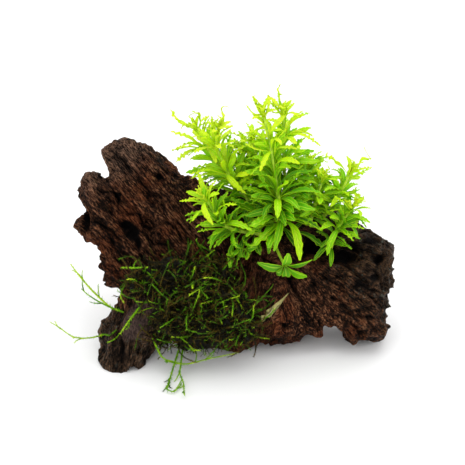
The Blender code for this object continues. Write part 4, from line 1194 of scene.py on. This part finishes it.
def moss_material():
    made, start = new_material("old_moss", roughness=0.6, specular_ior_level=0.12)
    mottle = (start.place().noise(600, 2, 0.6) - 0.5) * 0.6
    (start.attribute("tone") + mottle).clamped().ramp(MOSS_SHADES).into("Base Color")
    return made


heart_mesh = moss_cushion()
sets = []
for count, points, leaflets, lengths, radius, leaflet, paler in SPRIGS:
    strands = feathers(grown_from(heart_mesh, count, points, lengths), radius, leaflet, leaflets)
    sets.append((strands, np.clip(MOSS_CHANCE.beta(*SPRIG_TONES, count) + paler, 0, 1)))
old_moss = moss_material()
new_piece("moss_heart", heart_mesh, old_moss, "moss", "moss_clump")
new_piece("moss_sprigs", moss_mesh("moss_sprigs", sets, SPRIG_ROOT_TONE), old_moss, "moss", "moss_clump")

dressed_wood, dressed_moss = skin_of(driftwood.data), skin_of(heart_mesh)
moss_surface = surface_of("moss_clump")
for number, (radius, tone) in enumerate(STRANDS, start=1):
    name = f"moss_strand_{number}"
    rings = rings_of(name, moss_surface)
    rings[0] += (rings[1] - rings[2]) * STRAND_DIVE
    line = smooth_line(rings, STRAND_STEP)
    leaflets = round(len(line) * STRAND_LEAFLETS)
    strand = feathers(line[None], radius * MM, STRAND_LEAFLET * radius * MM, leaflets, STRAND_LEANS)
    twigs = twigs_of(line)
    twig_strands = feathers(twigs, TWIG_RADIUS, TWIG_LEAFLET, TWIG_LEAFLETS)
    twig_tones = tone * MOSS_CHANCE.uniform(*TWIG_TONES, len(twigs))
    mesh = moss_mesh(name, [(strand, np.array([tone])), (twig_strands, twig_tones)], STRAND_ROOT_TONE)
    new_piece(f"{name}_leafy", mesh, old_moss, "moss_shoot", name)

sets = []
for radius, tone, route in RUNNERS:
    line = over_surface(radius, route)
    strand = feathers(line[None], radius * MM, RUNNER_LEAFLET, len(line) * RUNNER_LEAFLETS)
    sets.append((strand, np.array([tone])))
new_piece("moss_runners", moss_mesh("moss_runners", sets, RUNNER_ROOT_TONE), old_moss, "moss_shoot")


# Withered leaf
# One old leaf has come off and lies on the wood, bleached and crumpled, on its thin stalk.

WITHERED_FACES = (40, 6)
WITHERED_WIDTH = 5 * MM
WITHERED_THICKNESS = 0.25 * MM
WITHERED_LIFTS = (1.6 * MM, 4 * MM, 2 * MM)


def withered_material():
    glow = {"subsurface_weight": 0.1, "subsurface_radius": (0.3 * MM, 0.3 * MM, 0.1 * MM)}
    made, start = new_material("withered_leaf", roughness=0.6, **glow)
    mottle = start.place().noise(500, 4, 0.65).between(0.3, 0.7)
    tan = mottle.colours(colour(72, 64, 28), colour(174, 166, 98))
    rib = 1 - abs(start.attribute("across")).between(0.05, 0.2)
    (rib * 0.6).colours(tan, colour(222, 214, 170)).into("Base Color")
    (mottle * 0.6 - rib).bump(0.7, 0.0005).into("Normal")
    return made


def withered_leaf_mesh():
    body = merged_solid("withered_leaf")
    up, out = FACE.to_3x3().col[1], FACE.to_3x3().col[2]
    points = sorted((vertex.co.copy() for vertex in body.verts), key=up.dot)
    tip, bend, foot = points[0], middle(body.verts), points[-1]
    body.free()
    across = out.cross(tip - foot).normalized()
    foot, bend, tip = [place + out * lift for place, lift in zip((foot, bend, tip), WITHERED_LIFTS)]
    leaf = Leaf(foot, bend, tip, across, out, WITHERED_WIDTH, 0.5)
    leaf.fold, leaf.ruffle, leaf.waves = 0.85, 1.1, 5
    leaf.curl, leaf.twist, leaf.broadest = -0.05, 0.8, 0.74
    return leafy_mesh("withered_leaf_crumpled", [(WITHERED_FACES, [leaf])])


name = "withered_leaf_crumpled"
withered = new_piece(name, withered_leaf_mesh(), withered_material(), "withered", "withered_leaf")
give_wall(withered, WITHERED_THICKNESS)


# Camera and light
# The photograph looks 30 degrees down on the slab, square on to its length, in soft light from above.

CAMERA_RISE = math.radians(30)
CAMERA_DISTANCE = 0.604
FLOOR_REACH = 3

camera = in_scene("camera", bpy.data.cameras.new("camera"))
camera.data.lens = 85
camera.data.sensor_width = 36
camera.location = FACE_PLACE + Vector((0, -math.cos(CAMERA_RISE), math.sin(CAMERA_RISE))) * CAMERA_DISTANCE
camera.rotation_euler = (math.pi / 2 - CAMERA_RISE, 0, 0)
bpy.context.scene.camera = camera


def area_light(name, place, size, power):
    """A soft square light that faces the object."""
    light = in_scene(name, bpy.data.lights.new(name, "AREA"))
    light.data.size = size
    light.data.energy = power
    light.location = place
    light.rotation_euler = (FACE_PLACE - Vector(place)).to_track_quat("-Z", "Y").to_euler()


area_light("overhead", (0.05, 0.2, 0.95), 1.2, 6.2)
area_light("front_left", (-0.55, -0.75, 0.55), 0.6, 2.4)
area_light("right", (0.8, -0.25, 0.45), 0.4, 1.4)

world = bpy.data.worlds.new("studio")
world.use_nodes = True
background = world.node_tree.nodes["Background"].inputs
background["Color"].default_value = (1, 1, 1, 1)
background["Strength"].default_value = 0.9
bpy.context.scene.world = world
bpy.context.scene.view_settings.view_transform = "Standard"

floor_body = bmesh.new()
bmesh.ops.create_grid(floor_body, x_segments=1, y_segments=1, size=FLOOR_REACH)
floor = in_scene("floor", bpy.data.meshes.new("floor"))
floor_body.to_mesh(floor.data)
floor_body.free()
floor.data.materials.append(new_material("pale_floor", base_color=(0.9, 0.9, 0.9, 1), roughness=0.6)[0])
